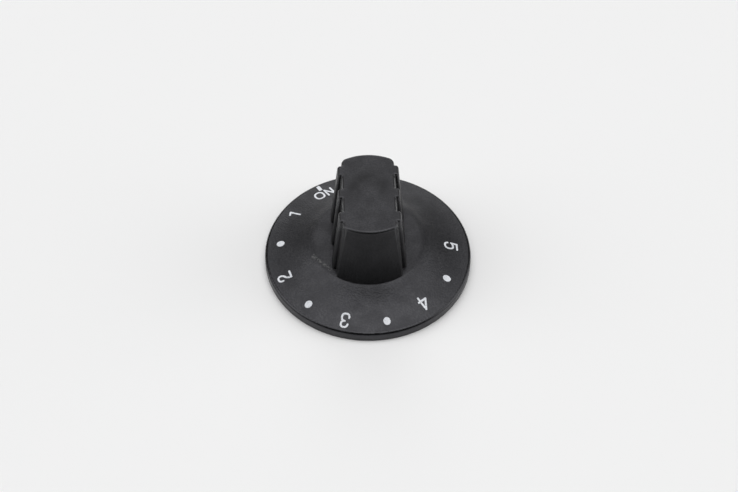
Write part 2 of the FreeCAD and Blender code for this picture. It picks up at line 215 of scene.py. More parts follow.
def turned(name, outline, rounds=(), on_skin=(), steps=TURN_STEPS):
    """Spin a closed outline of (radius, height) corners about the knob's axis.

    rounds lists (corner, size) pairs, by the corner's place in the outline. on_skin lists
    (corner, cuts) pairs: the side that leaves that corner is divided, and its new points are
    laid on the upper skin."""
    bm = bmesh.new()
    bm.faces.new([bm.verts.new((radius, 0, height)) for radius, height in outline])
    for corner, cuts in on_skin:
        side = bm.edges.get([vert_at(bm, radius, 0, height)
                             for radius, height in outline[corner:corner + 2]])
        divided = bmesh.ops.subdivide_edges(bm, edges=[side], cuts=cuts)
        for vert in only(divided["geom_inner"], bmesh.types.BMVert):
            vert.co.z = skin_height(vert.co.x)
    for corner, size in rounds:
        radius, height = outline[corner]
        soften(bm, [vert_at(bm, radius, 0, height)], size, ROUND_STEPS)
    bmesh.ops.delete(bm, geom=bm.faces[:], context="FACES_ONLY")
    on_axis = [edge for edge in bm.edges if all(vert.co.x < TINY for vert in edge.verts)]
    bmesh.ops.delete(bm, geom=on_axis, context="EDGES")
    bmesh.ops.spin(bm, geom=bm.verts[:] + bm.edges[:], axis=(0, 0, 1), cent=(0, 0, 0),
                   angle=FULL_TURN, steps=steps, use_merge=True)
    bmesh.ops.remove_doubles(bm, verts=bm.verts[:], dist=TINY)
    bmesh.ops.recalc_face_normals(bm, faces=bm.faces[:])
    return new_piece(bm, name)


# %% Blocks, plates and rods
def block(name, low, high):
    """A box between two corners."""
    bm = bmesh.new()
    bmesh.ops.create_cube(bm, size=1)
    bmesh.ops.translate(bm, verts=bm.verts[:], vec=(0.5, 0.5, 0.5))
    bmesh.ops.scale(bm, verts=bm.verts[:], vec=Vector(high) - Vector(low))
    bmesh.ops.translate(bm, verts=bm.verts[:], vec=low)
    return new_piece(bm, name)


def plate(name, outline, thickness, copies=1):
    """A flat outline of (across, height) corners with a thickness, standing on the knob's axis.

    It can be repeated evenly about the axis."""
    bm = bmesh.new()
    bm.faces.new([bm.verts.new((across, -thickness / 2, height)) for across, height in outline])
    grown = bmesh.ops.extrude_face_region(bm, geom=bm.faces[:])["geom"]
    moved = only(grown, bmesh.types.BMVert)
    bmesh.ops.translate(bm, verts=moved, vec=(0, thickness, 0))
    bmesh.ops.recalc_face_normals(bm, faces=bm.faces[:])
    if copies > 1:
        bmesh.ops.spin(bm, geom=whole(bm), axis=(0, 0, 1), cent=(0, 0, 0),
                       angle=FULL_TURN * (copies - 1) / copies, steps=copies - 1,
                       use_duplicate=True)
    return new_piece(bm, name)


def add_rod(bm, radius, length, place, steps):
    """Add a round rod with closed ends, along the Z axis of a place."""
    bmesh.ops.create_cone(bm, cap_ends=True, segments=steps, radius1=radius, radius2=radius,
                          depth=length, matrix=place)


# %% [markdown]
# ## Soft edges and shading
#
# A moulding is smooth, with creases only at real corners. The faces are shaded smooth, edges
# steeper than an angle are kept sharp, and a Weighted Normal modifier keeps the broad faces
# flat up to their rounds.
#
# Three attributes tell a material where it is. Points whose faces are all narrow and bend
# towards each other are marked as rounded, which is where plastic gets polished. Points that
# face a given side or up are marked for the painted light on rounds: a painted highlight on the
# bar and a painted dark line along the dial's rim. Each face also notes how far it looks up,
# because a mould leaves its walls smoother than its open faces; on the bar the same note paints
# the walls darker and the top lighter, as painted shade and painted light.

# %% Settle a finished piece
CREASE_ANGLE = math.radians(38)
ROUND_WIDTH = 0.34 * MM
ROUND_BEND = math.radians(9)
LIGHT_SIDE_FACING = 0.45
LIGHT_UP_FACING = 0.75


def settle(piece, body, node, light_side=None):
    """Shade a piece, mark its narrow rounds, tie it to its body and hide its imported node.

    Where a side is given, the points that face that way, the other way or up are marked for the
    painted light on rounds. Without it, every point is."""
    mesh = piece.data
    mesh.polygons.foreach_set("use_smooth", [True] * len(mesh.polygons))
    mesh.set_sharp_from_angle(angle=CREASE_ANGLE)
    bm = bmesh.new()
    bm.from_mesh(mesh)
    rounded = []
    painted_light_facing = []
    for vert in bm.verts:
        narrow = [face.calc_area() / max(edge.calc_length() for edge in face.edges) < ROUND_WIDTH
                  for face in vert.link_faces]
        bent = any(edge.calc_face_angle(0) > ROUND_BEND for edge in vert.link_edges)
        rounded.append(1.0 if bent and all(narrow) else 0.0)
        sideways = 1.0 if light_side is None else abs(vert.normal.dot(light_side)) / LIGHT_SIDE_FACING
        painted_light_facing.append(1.0 if vert.normal.z > LIGHT_UP_FACING else min(1.0, sideways))
    bm.free()
    mesh.attributes.new("rounded", "FLOAT", "POINT").data.foreach_set("value", rounded)
    mesh.attributes.new("painted_light_facing", "FLOAT", "POINT").data.foreach_set("value", painted_light_facing)
    upward = [max(0.0, face.normal.z) for face in mesh.polygons]
    mesh.attributes.new("upward", "FLOAT", "FACE").data.foreach_set("value", upward)
    even = piece.modifiers.new("Even shading", "WEIGHTED_NORMAL")
    even.keep_sharp = True
    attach(piece, body)
    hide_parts(node)
    report(piece)


# %% [markdown]
# ## Dial skirt
#
# The skirt is a thin flared ring with a rolled rim, a stepped seat for the bar's base and eight
# gussets below. A lathe outline gives the ring in one spin: the rim's upper corner gets a real
# round, because that narrow band catches a dark line along the front of the rim. The material
# also paints that round darker, as a painted dark line.

# %% Dial skirt
LEDGE_RADIUS = 15.0 * MM
WEB_RADIUS = 17.6 * MM
RIM_WALL = 1.9 * MM
RIM_INNER = RIM_RADIUS - RIM_WALL
RIM_FLAT = 0.95 * MM
RIM_ROUND = 0.75 * MM
FOOT_ROUND = 0.22 * MM
FLARE_CUTS = 20
RIDGE_CUTS = 4
KEY_HALF = 1.5 * MM
KEY_REACH = 0.8 * MM
KEY_GAP = 0.05 * MM

skirt = turned("dial_skirt_moulding", [
    (RIM_INNER, 0),
    (RIM_RADIUS, 0),
    (RIM_RADIUS, skin_height(RIM_RADIUS)),
    (RIM_RADIUS - RIM_FLAT, skin_height(RIM_RADIUS - RIM_FLAT)),
    (ROUND_END, skin_height(ROUND_END)),
    (RIDGE_RADIUS, skin_height(RIDGE_RADIUS)),
    (RIDGE_RADIUS, SEAT_FLOOR),
    (LEDGE_RADIUS, SEAT_FLOOR),
    (LEDGE_RADIUS, LEDGE_FLOOR),
    (WEB_RADIUS, LEDGE_FLOOR),
    (RIM_INNER, RIM_HEIGHT - RIM_WALL),
], rounds=[(0, FOOT_ROUND), (1, FOOT_ROUND), (2, RIM_ROUND)],
    on_skin=[(3, FLARE_CUTS), (4, RIDGE_CUTS)])

# %% Gussets and key notches
GUSSET_COUNT = 8
GUSSET_THICKNESS = 1.3 * MM
GUSSET_ROOT = WEB_RADIUS - 0.8 * MM
GUSSET_FOOT = 2.4 * MM
GUSSET_END = RIM_RADIUS - 0.95 * MM
GUSSET_END_FOOT = 1.0 * MM
GUSSET_END_TOP = 2.55 * MM

gussets = plate("gussets", [
    (GUSSET_ROOT, LEDGE_FLOOR),
    (WEB_RADIUS, GUSSET_FOOT),
    (GUSSET_END, GUSSET_END_FOOT),
    (GUSSET_END, GUSSET_END_TOP),
    (WEB_RADIUS, SEAT_FLOOR),
], GUSSET_THICKNESS, GUSSET_COUNT)
notch_reach = LEDGE_RADIUS + KEY_REACH + KEY_GAP
notches = block("notches", (-notch_reach, -KEY_HALF - KEY_GAP, LEDGE_FLOOR),
                (notch_reach, KEY_HALF + KEY_GAP, SEAT_FLOOR))
carve(skirt, "UNION", gussets)
carve(skirt, "DIFFERENCE", notches)
settle(skirt, "knob", "dial_skirt")

# %% [markdown]
# ## Finger bar and base
#
# The bar is moulded with draft: every width shrinks evenly towards the top, the ends are parts
# of a cone about the knob's axis, and three ribs stand out of each flank. Two outlines, one at
# the foot and one at the top, are bridged into a solid. Their corners are rounded by kind before
# that, so an upright round can change its size on the way up, as the ones at the bar's ends do.
# The top edge is rounded last, and the rounds run into each other as on the moulding.

# %% The bar's outline at a height
RIB_AT_RIDGE = 11.0 * MM
RIB_AT_TOP = 8.9 * MM
CORE_AT_RIDGE = 9.7 * MM
CORE_AT_TOP = 7.65 * MM
END_AT_RIDGE = BASE_RADIUS - 0.09 * MM
END_AT_TOP = 15.1 * MM
BAR_FOOT = RIDGE_HEIGHT - 0.5 * MM
RIBS = [(-10.8 * MM, -6.8 * MM), (-1.85 * MM, 1.85 * MM), (6.8 * MM, 10.8 * MM)]


def drafted(at_ridge, at_top, height):
    """A width of the bar, which shrinks evenly from the ridge to the top."""
    return at_ridge + (at_top - at_ridge) * (height - RIDGE_HEIGHT) / (GRIP_TOP - RIDGE_HEIGHT)


def bar_corners(height):
    """The bar's corners at a height as (kind, x, y), along one flank and back along the other."""
    core = drafted(CORE_AT_RIDGE, CORE_AT_TOP, height)
    rib = drafted(RIB_AT_RIDGE, RIB_AT_TOP, height)
    end = drafted(END_AT_RIDGE, END_AT_TOP, height)
    shoulder = math.sqrt(end ** 2 - core ** 2)
    flank = [("end", core, -shoulder)]
    for start, finish in RIBS:
        flank.append(("groove", core, start))
        flank.append(("rib", rib, start))
        flank.append(("rib", rib, finish))
        flank.append(("groove", core, finish))
    flank.append(("end", core, shoulder))
    return flank + [(kind, -x, -y) for kind, x, y in flank]


# %% The bar's outline, bent and rounded
END_CUTS = 13
CORNER_STEPS = 7
# The size of each kind of corner round at the ridge and at the top
CORNER_ROUNDS = {
    "rib": (0.85 * MM, 0.85 * MM),
    "groove": (0.3 * MM, 0.3 * MM),
    "end": (0.5 * MM, 1.2 * MM),
}


def bar_loop(bm, height):
    """A closed loop of edges around the bar: its two ends bent to the cone, its corners rounded."""
    corners = bar_corners(height)
    bm.faces.new([bm.verts.new((x, y, height)) for kind, x, y in corners])
    half = len(corners) // 2
    end_radius = drafted(END_AT_RIDGE, END_AT_TOP, height)
    for pair in (corners[half - 1:half + 1], (corners[-1], corners[0])):
        end = bm.edges.get([vert_at(bm, x, y, height) for kind, x, y in pair])
        divided = bmesh.ops.subdivide_edges(bm, edges=[end], cuts=END_CUTS)
        for vert in only(divided["geom_inner"], bmesh.types.BMVert):
            vert.co.y = math.copysign(math.sqrt(end_radius ** 2 - vert.co.x ** 2), vert.co.y)
    for kind, (at_ridge, at_top) in CORNER_ROUNDS.items():
        sharp = [vert_at(bm, x, y, height) for name, x, y in corners if name == kind]
        soften(bm, sharp, drafted(at_ridge, at_top, height), CORNER_STEPS)
    bmesh.ops.delete(bm, geom=bm.faces[:], context="FACES_ONLY")


# %% Bridge the outlines and round the top
TOP_ROUND = 0.83 * MM
TOP_STEPS = 5

bm = bmesh.new()
bar_loop(bm, BAR_FOOT)
bar_loop(bm, GRIP_TOP)
outline_edges = bm.edges[:]
bmesh.ops.bridge_loops(bm, edges=outline_edges)
bmesh.ops.edgeloop_fill(bm, edges=outline_edges)
bmesh.ops.recalc_face_normals(bm, faces=bm.faces[:])
top_face = max(bm.faces, key=lambda face: face.calc_center_median().z)
soften(bm, top_face.edges[:], TOP_ROUND, TOP_STEPS, "EDGES")
grip = new_piece(bm, "grip_moulding")
report(grip)

# %% Round base with its spigot
SPIGOT_RADIUS = LEDGE_RADIUS - 0.05 * MM
SPIGOT_ROUND = 0.2 * MM
RING_GROOVE = LEDGE_RADIUS - 0.75 * MM
RING_THICKNESS = 0.8 * MM
LAND_RADIUS = RIDGE_RADIUS - 0.01 * MM

base = turned("round_base", [
    (0, RIDGE_HEIGHT),
    (ROUND_START, RIDGE_HEIGHT),
    (LAND_RADIUS, skin_height(LAND_RADIUS)),
    (LAND_RADIUS, SEAT_FLOOR),
    (SPIGOT_RADIUS, SEAT_FLOOR),
    (SPIGOT_RADIUS, LEDGE_FLOOR),
    (RING_GROOVE, LEDGE_FLOOR),
    (RING_GROOVE, LEDGE_FLOOR - RING_THICKNESS),
    (SPIGOT_RADIUS, LEDGE_FLOOR - RING_THICKNESS),
    (SPIGOT_RADIUS, SPIGOT_FOOT),
    (0, SPIGOT_FOOT),
], rounds=[(9, SPIGOT_ROUND)], on_skin=[(1, RIDGE_CUTS)])
keys = block("keys", (-LEDGE_RADIUS - KEY_REACH, -KEY_HALF, LEDGE_FLOOR),
             (LEDGE_RADIUS + KEY_REACH, KEY_HALF, SEAT_FLOOR))
carve(base, "UNION", keys)
carve(grip, "UNION", base)
report(grip)

# %% [markdown]
# The bar is hollow below, as thick plastic would sink. The hollow is a pair of drafted wedges
# that leave a round boss standing for the bush. The boss is taken out of the wedges first, so
# that one cut leaves it in place.

# %% Hollow, boss and bore
RECESS_RADIUS = SPIGOT_RADIUS - 1.75 * MM
ROOF_HEIGHT = GRIP_TOP - 2.0 * MM
CAVITY_DRAFT = math.radians(4.5)
HOLLOW_HALF = (7.8 * MM, 10.5 * MM)
NOSES_HALF = (4.4 * MM, 12.4 * MM)
BOSS_RADIUS = 7.4 * MM
BUSH_RADIUS = 5.2 * MM
BORE_RADIUS = BUSH_RADIUS + 0.025 * MM
BORE_TOP = bush_high.z + 0.05 * MM
BORE_STEPS = 96
OVERSHOOT = 0.5 * MM


def rod(name, radius, foot, top):
    """A plain round core about the knob's axis."""
    return turned(name, [(0, foot), (radius, foot), (radius, top), (0, top)], steps=BORE_STEPS)


def wedge(name, half_x, half_y):
    """A drafted core that fills the bar from the seat to the roof."""
    core = block(name, (-half_x, -half_y, SEAT_FLOOR - OVERSHOOT), (half_x, half_y, ROOF_HEIGHT))
    lean = (ROOF_HEIGHT - SEAT_FLOOR) * math.tan(CAVITY_DRAFT)
    for vert in core.data.vertices:
        if vert.co.z > SEAT_FLOOR:
            vert.co.x -= math.copysign(lean, vert.co.x)
            vert.co.y -= math.copysign(lean, vert.co.y)
    return core


hollow = carve(wedge("hollow", *HOLLOW_HALF), "UNION", wedge("hollow_noses", *NOSES_HALF))
carve(hollow, "DIFFERENCE", rod("boss", BOSS_RADIUS, SPIGOT_FOOT, GRIP_TOP))
recess = rod("recess", RECESS_RADIUS, SPIGOT_FOOT - OVERSHOOT, SEAT_FLOOR)
bore = rod("bore", BORE_RADIUS, SEAT_FLOOR - OVERSHOOT, BORE_TOP)
carve(grip, "DIFFERENCE", recess, hollow, bore)
settle(grip, "knob", "grip_body", light_side=Vector((1, 0, 0)))

# %% [markdown]
# ## Hub bush
#
# The bush is nylon: a flanged barrel with a split nose. From below, its mouth leads into a
# socket with one flat side, which keys the knob to a D-shaped spindle. A pocket behind the flat
# holds the leaf spring. The barrel is spun from an outline whose outer corners are rounded, and
# everything inside it is cut out, one simple core after the other.

# %% Hub bush
NOSE_BOTTOM = bush_low.z
FLANGE_RADIUS = bush_high.y
BUSH_TOP = bush_high.z
NOSE_RADIUS = 4.6 * MM
NOSE_ROUND = 0.3 * MM
FLANGE_ROUND = 0.2 * MM
FLANGE_FOOT = NOSE_BOTTOM + 4.4 * MM
SPINDLE_RADIUS = 3.05 * MM
SPINDLE_FLAT = 1.65 * MM
SOCKET_TOP = NOSE_BOTTOM + 18.2 * MM
MOUTH_CHAMFER = 0.4 * MM
SPLIT_HALF = 0.5 * MM
EYE_DEPTH = 3.3 * MM
EYE_HEIGHT = SEAT_FLOOR + 9.5 * MM
EYE_RADIUS = 0.75 * MM
EYE_PLAY = 0.05 * MM
POCKET_HALF = 2.0 * MM
POCKET_FOOT = SEAT_FLOOR + 0.6 * MM
POCKET_TOP = POCKET_FOOT + 8.6 * MM
POCKET_DEPTH = 4.1 * MM


def d_socket():
    """The spindle's round core with one side cut flat."""
    bm = bmesh.new()
    depth = SOCKET_TOP - FLANGE_FOOT + OVERSHOOT
    middle = (SOCKET_TOP + FLANGE_FOOT - OVERSHOOT) / 2
    add_rod(bm, SPINDLE_RADIUS, depth, Matrix.Translation((0, 0, middle)), BORE_STEPS)
    cut = bmesh.ops.bisect_plane(bm, geom=whole(bm), plane_co=(0, -SPINDLE_FLAT, 0),
                                 plane_no=(0, -1, 0), clear_outer=True)
    bmesh.ops.edgeloop_fill(bm, edges=only(cut["geom_cut"], bmesh.types.BMEdge))
    bmesh.ops.recalc_face_normals(bm, faces=bm.faces[:])
    return new_piece(bm, "d_socket")


def cross_rod(name, radius, half_length):
    """A rod across the knob, on the leaf spring's pivot."""
    bm = bmesh.new()
    place = Matrix.Translation((0, -EYE_DEPTH, EYE_HEIGHT)) @ Matrix.Rotation(math.pi / 2, 4, "Y")
    add_rod(bm, radius, 2 * half_length, place, BORE_STEPS // 2)
    return new_piece(bm, name)


bush = turned("hub_bush", [
    (0, NOSE_BOTTOM),
    (NOSE_RADIUS, NOSE_BOTTOM),
    (NOSE_RADIUS, FLANGE_FOOT),
    (FLANGE_RADIUS, FLANGE_FOOT),
    (FLANGE_RADIUS, SEAT_FLOOR),
    (BUSH_RADIUS, SEAT_FLOOR),
    (BUSH_RADIUS, BUSH_TOP),
    (0, BUSH_TOP),
], rounds=[(1, NOSE_ROUND), (3, FLANGE_ROUND)], steps=BORE_STEPS)
mouth = turned("mouth", [
    (0, NOSE_BOTTOM - OVERSHOOT),
    (SPINDLE_RADIUS + MOUTH_CHAMFER, NOSE_BOTTOM - OVERSHOOT),
    (SPINDLE_RADIUS + MOUTH_CHAMFER, NOSE_BOTTOM),
    (SPINDLE_RADIUS, NOSE_BOTTOM + MOUTH_CHAMFER),
    (SPINDLE_RADIUS, FLANGE_FOOT),
    (0, FLANGE_FOOT),
], steps=BORE_STEPS)
spring_pocket = block("spring_pocket", (-POCKET_HALF, -POCKET_DEPTH, POCKET_FOOT),
                      (POCKET_HALF, -SPINDLE_FLAT / 2, POCKET_TOP))
eye_seat = cross_rod("eye_seat", EYE_RADIUS + EYE_PLAY, POCKET_HALF)
nose_split = block("nose_split", (-FLANGE_RADIUS, -SPLIT_HALF, 0),
                   (FLANGE_RADIUS, SPLIT_HALF, FLANGE_FOOT))
carve(bush, "DIFFERENCE", mouth, d_socket(), spring_pocket, eye_seat, nose_split)
settle(bush, "knob", "shaft_bush")

# %% [markdown]
# ## Leaf spring
#
# A strip of spring steel with a rolled eye. It leans out of its pocket to a crown that stands
# proud of the socket's flat, where it presses on the spindle. The strip is drawn from the side
# and given its width, and the two lines of its crown are bent with a round, not folded sharp.

# %% Leaf spring
LEAF_THICKNESS = 0.4 * MM
LEAF_WIDTH = 3.6 * MM
CROWN_PROUD = 0.25 * MM
LEAF_FRONT = CROWN_PROUD - SPINDLE_FLAT
LEAF_ROOT = EYE_HEIGHT - 0.55 * MM
CROWN_TOP = EYE_HEIGHT - 4.3 * MM
CROWN_FOOT = EYE_HEIGHT - 5.5 * MM
TAIL_HEIGHT = EYE_HEIGHT - 8.2 * MM
TAIL_DEPTH = 2.7 * MM
EYE_BORE = 0.35 * MM
BEND_ROUND = 0.45 * MM

leaf = plate("leaf_strip", [
    (-EYE_DEPTH - LEAF_THICKNESS / 2, LEAF_ROOT),
    (LEAF_FRONT - LEAF_THICKNESS, CROWN_TOP),
    (LEAF_FRONT - LEAF_THICKNESS, CROWN_FOOT),
    (-TAIL_DEPTH - LEAF_THICKNESS, TAIL_HEIGHT),
    (-TAIL_DEPTH, TAIL_HEIGHT),
    (LEAF_FRONT, CROWN_FOOT),
    (LEAF_FRONT, CROWN_TOP),
    (-EYE_DEPTH + LEAF_THICKNESS / 2, LEAF_ROOT),
], LEAF_WIDTH)
bm = bmesh.new()
bm.from_mesh(leaf.data)
bends = [edge for edge in bm.edges
         if all(CROWN_FOOT - TINY < vert.co.z < CROWN_TOP + TINY for vert in edge.verts)
         and abs(edge.verts[0].co.y - edge.verts[1].co.y) > LEAF_WIDTH / 2]
soften(bm, bends, BEND_ROUND, ROUND_STEPS, "EDGES")
quarter_turn = Matrix.Rotation(math.pi / 2, 3, "Z")
bmesh.ops.rotate(bm, verts=bm.verts[:], cent=(0, 0, 0), matrix=quarter_turn)
bm.to_mesh(leaf.data)
bm.free()
carve(leaf, "UNION", cross_rod("rolled_eye", EYE_RADIUS, LEAF_WIDTH / 2))
carve(leaf, "DIFFERENCE", cross_rod("eye_bore", EYE_BORE, LEAF_WIDTH))
settle(leaf, "spring", "leaf_spring")

# %% [markdown]
# ## Rolled rings
#
# The clamp band and the circlip are strips rolled into open rings. A rectangle is spun through
# less than a full turn, so both ends stay closed. Its corners are broken first, because cut
# strip is never quite sharp. The circlip also has two ears with holes for its pliers.

# %% Open ring
EDGE_BREAK = 0.06 * MM
BREAK_STEPS = 2


def open_ring(name, inner, outer, foot, top, gap):
    """A rectangular strip rolled about the knob's axis, with its gap on the -X side."""
    bm = bmesh.new()
    section = [(inner, foot), (outer, foot), (outer, top), (inner, top)]
    bm.faces.new([bm.verts.new((-radius, 0, height)) for radius, height in section])
    soften(bm, bm.verts[:], EDGE_BREAK, BREAK_STEPS)
    first_end = Matrix.Rotation(gap / 2, 3, "Z")
    bmesh.ops.rotate(bm, verts=bm.verts[:], cent=(0, 0, 0), matrix=first_end)
    bmesh.ops.spin(bm, geom=whole(bm), axis=(0, 0, 1), cent=(0, 0, 0), angle=FULL_TURN - gap,
                   steps=TURN_STEPS // 2)
    bmesh.ops.recalc_face_normals(bm, faces=bm.faces[:])
    return new_piece(bm, name)


# %% Clamp band and circlip
BAND_INNER = NOSE_RADIUS + 0.025 * MM
BAND_OUTER = BAND_INNER + 0.8 * MM
BAND_FOOT = NOSE_BOTTOM + 0.8 * MM
BAND_TOP = BAND_FOOT + 2.8 * MM
BAND_SLIT = math.radians(10)
CLIP_GAP = math.radians(36)
CLIP_PLAY = 0.025 * MM
CLIP_INNER = RING_GROOVE + 0.05 * MM
CLIP_OUTER = 16.2 * MM
CLIP_FOOT = LEDGE_FLOOR - RING_THICKNESS + CLIP_PLAY
CLIP_TOP = LEDGE_FLOOR - CLIP_PLAY
EAR_ANGLE = math.radians(22.5)
EAR_RADIUS = 1.2 * MM
EAR_HOLE = 0.55 * MM
EAR_REACH = (LEDGE_RADIUS + CLIP_OUTER) / 2


def ear_rod(name, radius, side, extra):
    """A round ear of the circlip, or with some extra height the tool for its hole."""
    bm = bmesh.new()
    centre = Vector((-EAR_REACH * math.cos(EAR_ANGLE), side * EAR_REACH * math.sin(EAR_ANGLE),
                     (CLIP_FOOT + CLIP_TOP) / 2))
    height = CLIP_TOP - CLIP_FOOT + extra
    add_rod(bm, radius, height, Matrix.Translation(centre), BORE_STEPS // 2)
    return new_piece(bm, name)


band = open_ring("clamp_band", BAND_INNER, BAND_OUTER, BAND_FOOT, BAND_TOP, BAND_SLIT)
settle(band, "knob", "hub_clamp_ring")
clip = open_ring("dial_circlip", CLIP_INNER, CLIP_OUTER, CLIP_FOOT, CLIP_TOP, CLIP_GAP)
for side in (1, -1):
    carve(clip, "UNION", ear_rod("ear", EAR_RADIUS, side, 0))
    carve(clip, "DIFFERENCE", ear_rod("ear_hole", EAR_HOLE, side, OVERSHOOT))
settle(clip, "knob", "dial_retaining_ring")

# %% [markdown]
# ## Printed scale
#
# The scale is pad-printed ink: ON, then 1 to 5 with a dot between the numbers, 27 degrees
# apart, with OFF a step before ON. The lettering is of the engraver's kind, drawn with a round
# pen of one width, so a font won't do: each stroke here is a centre line, widened into a ribbon
# with round ends. It is then divided, laid on the dial, let down onto the hollow flare and given
# the ink's thickness. The print sits a little off centre, as pad printing does.

# %% Lettering
PEN_WIDTH = 0.58 * MM
PEN_STEPS = 8
CURVE_ORDER = 3
CAP_STEPS = 8
NUMERAL_SIZE = (2.1 * MM, 3.65 * MM)
ROUND_SIZE = (2.7 * MM, 3.2 * MM)
LETTER_SIZE = (2.05 * MM, 3.2 * MM)

# Each stroke is drawn in a box of one unit: True for a smooth curve, then its points
GLYPHS = {
    "1": [(False, [(-0.37, 0.35), (0.17, 0.5)]), (False, [(0.17, 0.5), (0.28, -0.42)])],
    "2": [(True, [(-0.42, 0.21), (-0.46, 0.53), (0.46, 0.53), (0.47, 0.1), (-0.3, -0.17),
                  (-0.37, -0.49)]),
          (False, [(-0.37, -0.49), (0.62, -0.51)])],
    "3": [(True, [(-0.49, 0.24), (-0.44, 0.52), (0.44, 0.52), (0.47, 0.02), (0.02, 0.0)]),
          (True, [(0.02, 0.0), (0.53, 0.0), (0.53, -0.6), (-0.5, -0.6), (-0.5, -0.3)])],
    "4": [(False, [(0.33, 0.56), (0.27, -0.5)]), (False, [(0.33, 0.56), (-0.64, -0.18)]),
          (False, [(-0.64, -0.18), (0.57, -0.18)])],
    "5": [(False, [(0.65, 0.49), (-0.33, 0.51)]), (False, [(-0.33, 0.51), (-0.47, 0.05)]),
          (True, [(-0.47, 0.05), (-0.3, 0.17), (0.54, 0.19), (0.56, -0.46), (-0.4, -0.52),
                  (-0.49, -0.25)])],
    "O": [(True, [(0, 0.5), (-0.5, 0.5), (-0.5, -0.5), (0, -0.5)]),
          (True, [(0, 0.5), (0.5, 0.5), (0.5, -0.5), (0, -0.5)])],
    "N": [(False, [(-0.5, -0.5), (-0.5, 0.5)]), (False, [(-0.5, 0.5), (0.5, -0.5)]),
          (False, [(0.5, -0.5), (0.5, 0.5)])],
    "F": [(False, [(-0.4, -0.5), (-0.4, 0.5)]), (False, [(-0.4, 0.5), (0.45, 0.5)]),
          (False, [(-0.4, 0.04), (0.32, 0.04)])],
}


def centre_line(points, smooth):
    """A bmesh of edges along a pen stroke, read from a curve through or near the points."""
    curve = bpy.data.curves.new("pen", "CURVE")
    curve.resolution_u = PEN_STEPS
    spline = curve.splines.new("NURBS" if smooth else "POLY")
    spline.points.add(len(points) - 1)
    for point, (x, y) in zip(spline.points, points):
        point.co = (x, y, 0, 1)
    if smooth:
        spline.order_u = CURVE_ORDER
        spline.use_endpoint_u = True
    holder = bpy.data.objects.new("pen", curve)
    mesh = bpy.data.meshes.new_from_object(holder)
    bpy.data.objects.remove(holder)
    bm = bmesh.new()
    bm.from_mesh(mesh)
    bpy.data.meshes.remove(mesh)
    return bm


def pen_stroke(points, smooth):
    """A flat ribbon of the pen's width along a centre line, with round ends."""
    bm = centre_line(points, smooth)
    line = bm.verts[:]
    path = [vert.co.copy() for vert in line]
    bmesh.ops.extrude_edge_only(bm, edges=bm.edges[:])
    for index, vert in enumerate(line):
        run = path[min(index + 1, len(path) - 1)] - path[max(index - 1, 0)]
        side = Vector((-run.y, run.x, 0)).normalized() * PEN_WIDTH / 2
        twin = next(edge.other_vert(vert) for edge in vert.link_edges
                    if edge.other_vert(vert) not in line)
        vert.co = path[index] + side
        twin.co = path[index] - side
    for vert, centre, half_turn in ((line[0], path[0], math.pi), (line[-1], path[-1], -math.pi)):
        bmesh.ops.spin(bm, geom=[vert], cent=centre, axis=(0, 0, 1), angle=half_turn,
                       steps=CAP_STEPS)
    bmesh.ops.remove_doubles(bm, verts=bm.verts[:], dist=TINY)
    bmesh.ops.edgenet_fill(bm, edges=[edge for edge in bm.edges if not edge.is_manifold])
    return bm


# %% Flat marks
DOT_SIZE = (2.1 * MM, 2.4 * MM)
DOT_STEPS = 32
TICK_LENGTH = 2.3 * MM
TICK_WIDTH = 1.15 * MM
TICK_ROUND = TICK_WIDTH / 5
TICK_STEPS = 3
# The sideways place of each letter in a word
WORD_STEPS = {"ON": [-1.65 * MM, 1.8 * MM], "OFF": [-3.1 * MM, 0.2 * MM, 2.9 * MM]}


def glyph_strokes(letter, size, shift):
    """The pen strokes of one glyph, at a size and moved sideways along its line."""
    width, height = size
    for smooth, points in GLYPHS[letter]:
        yield pen_stroke([(x * width + shift, y * height) for x, y in points], smooth)


def word_strokes(word):
    """The strokes of a word, letter by letter."""
    for letter, shift in zip(word, WORD_STEPS[word]):
        yield from glyph_strokes(letter, ROUND_SIZE if letter == "O" else LETTER_SIZE, shift)


def flat_dot():
    """An oval dot."""
    bm = bmesh.new()
    bmesh.ops.create_circle(bm, cap_ends=True, radius=0.5, segments=DOT_STEPS)
    bmesh.ops.scale(bm, verts=bm.verts[:], vec=(*DOT_SIZE, 1))
    return bm


def flat_tick():
    """The short bar outside a word."""
    bm = bmesh.new()
    bmesh.ops.create_grid(bm, x_segments=1, y_segments=1, size=0.5)
    bmesh.ops.scale(bm, verts=bm.verts[:], vec=(TICK_WIDTH, TICK_LENGTH, 1))
    soften(bm, bm.verts[:], TICK_ROUND, TICK_STEPS)
    return bm


# %% Lay the marks on the dial
TICK_OUT = 3.3 * MM
PRINT_SHIFT = Vector((-0.42 * MM, -0.93 * MM, 0))
INK_GRID = 0.6 * MM
INK_THICKNESS = 0.02 * MM
STROKE_LIFT = 0.002 * MM


def divide(bm):
    """Cut a flat mark along a square grid, so that it can bend."""
    for axis in (0, 1):
        normal = Vector((0, 0, 0))
        normal[axis] = 1
        low = math.floor(min(vert.co[axis] for vert in bm.verts) / INK_GRID)
        high = math.ceil(max(vert.co[axis] for vert in bm.verts) / INK_GRID)
        for line in range(low, high + 1):
            bmesh.ops.bisect_plane(bm, geom=whole(bm), plane_co=normal * (line * INK_GRID),
                                   plane_no=normal)


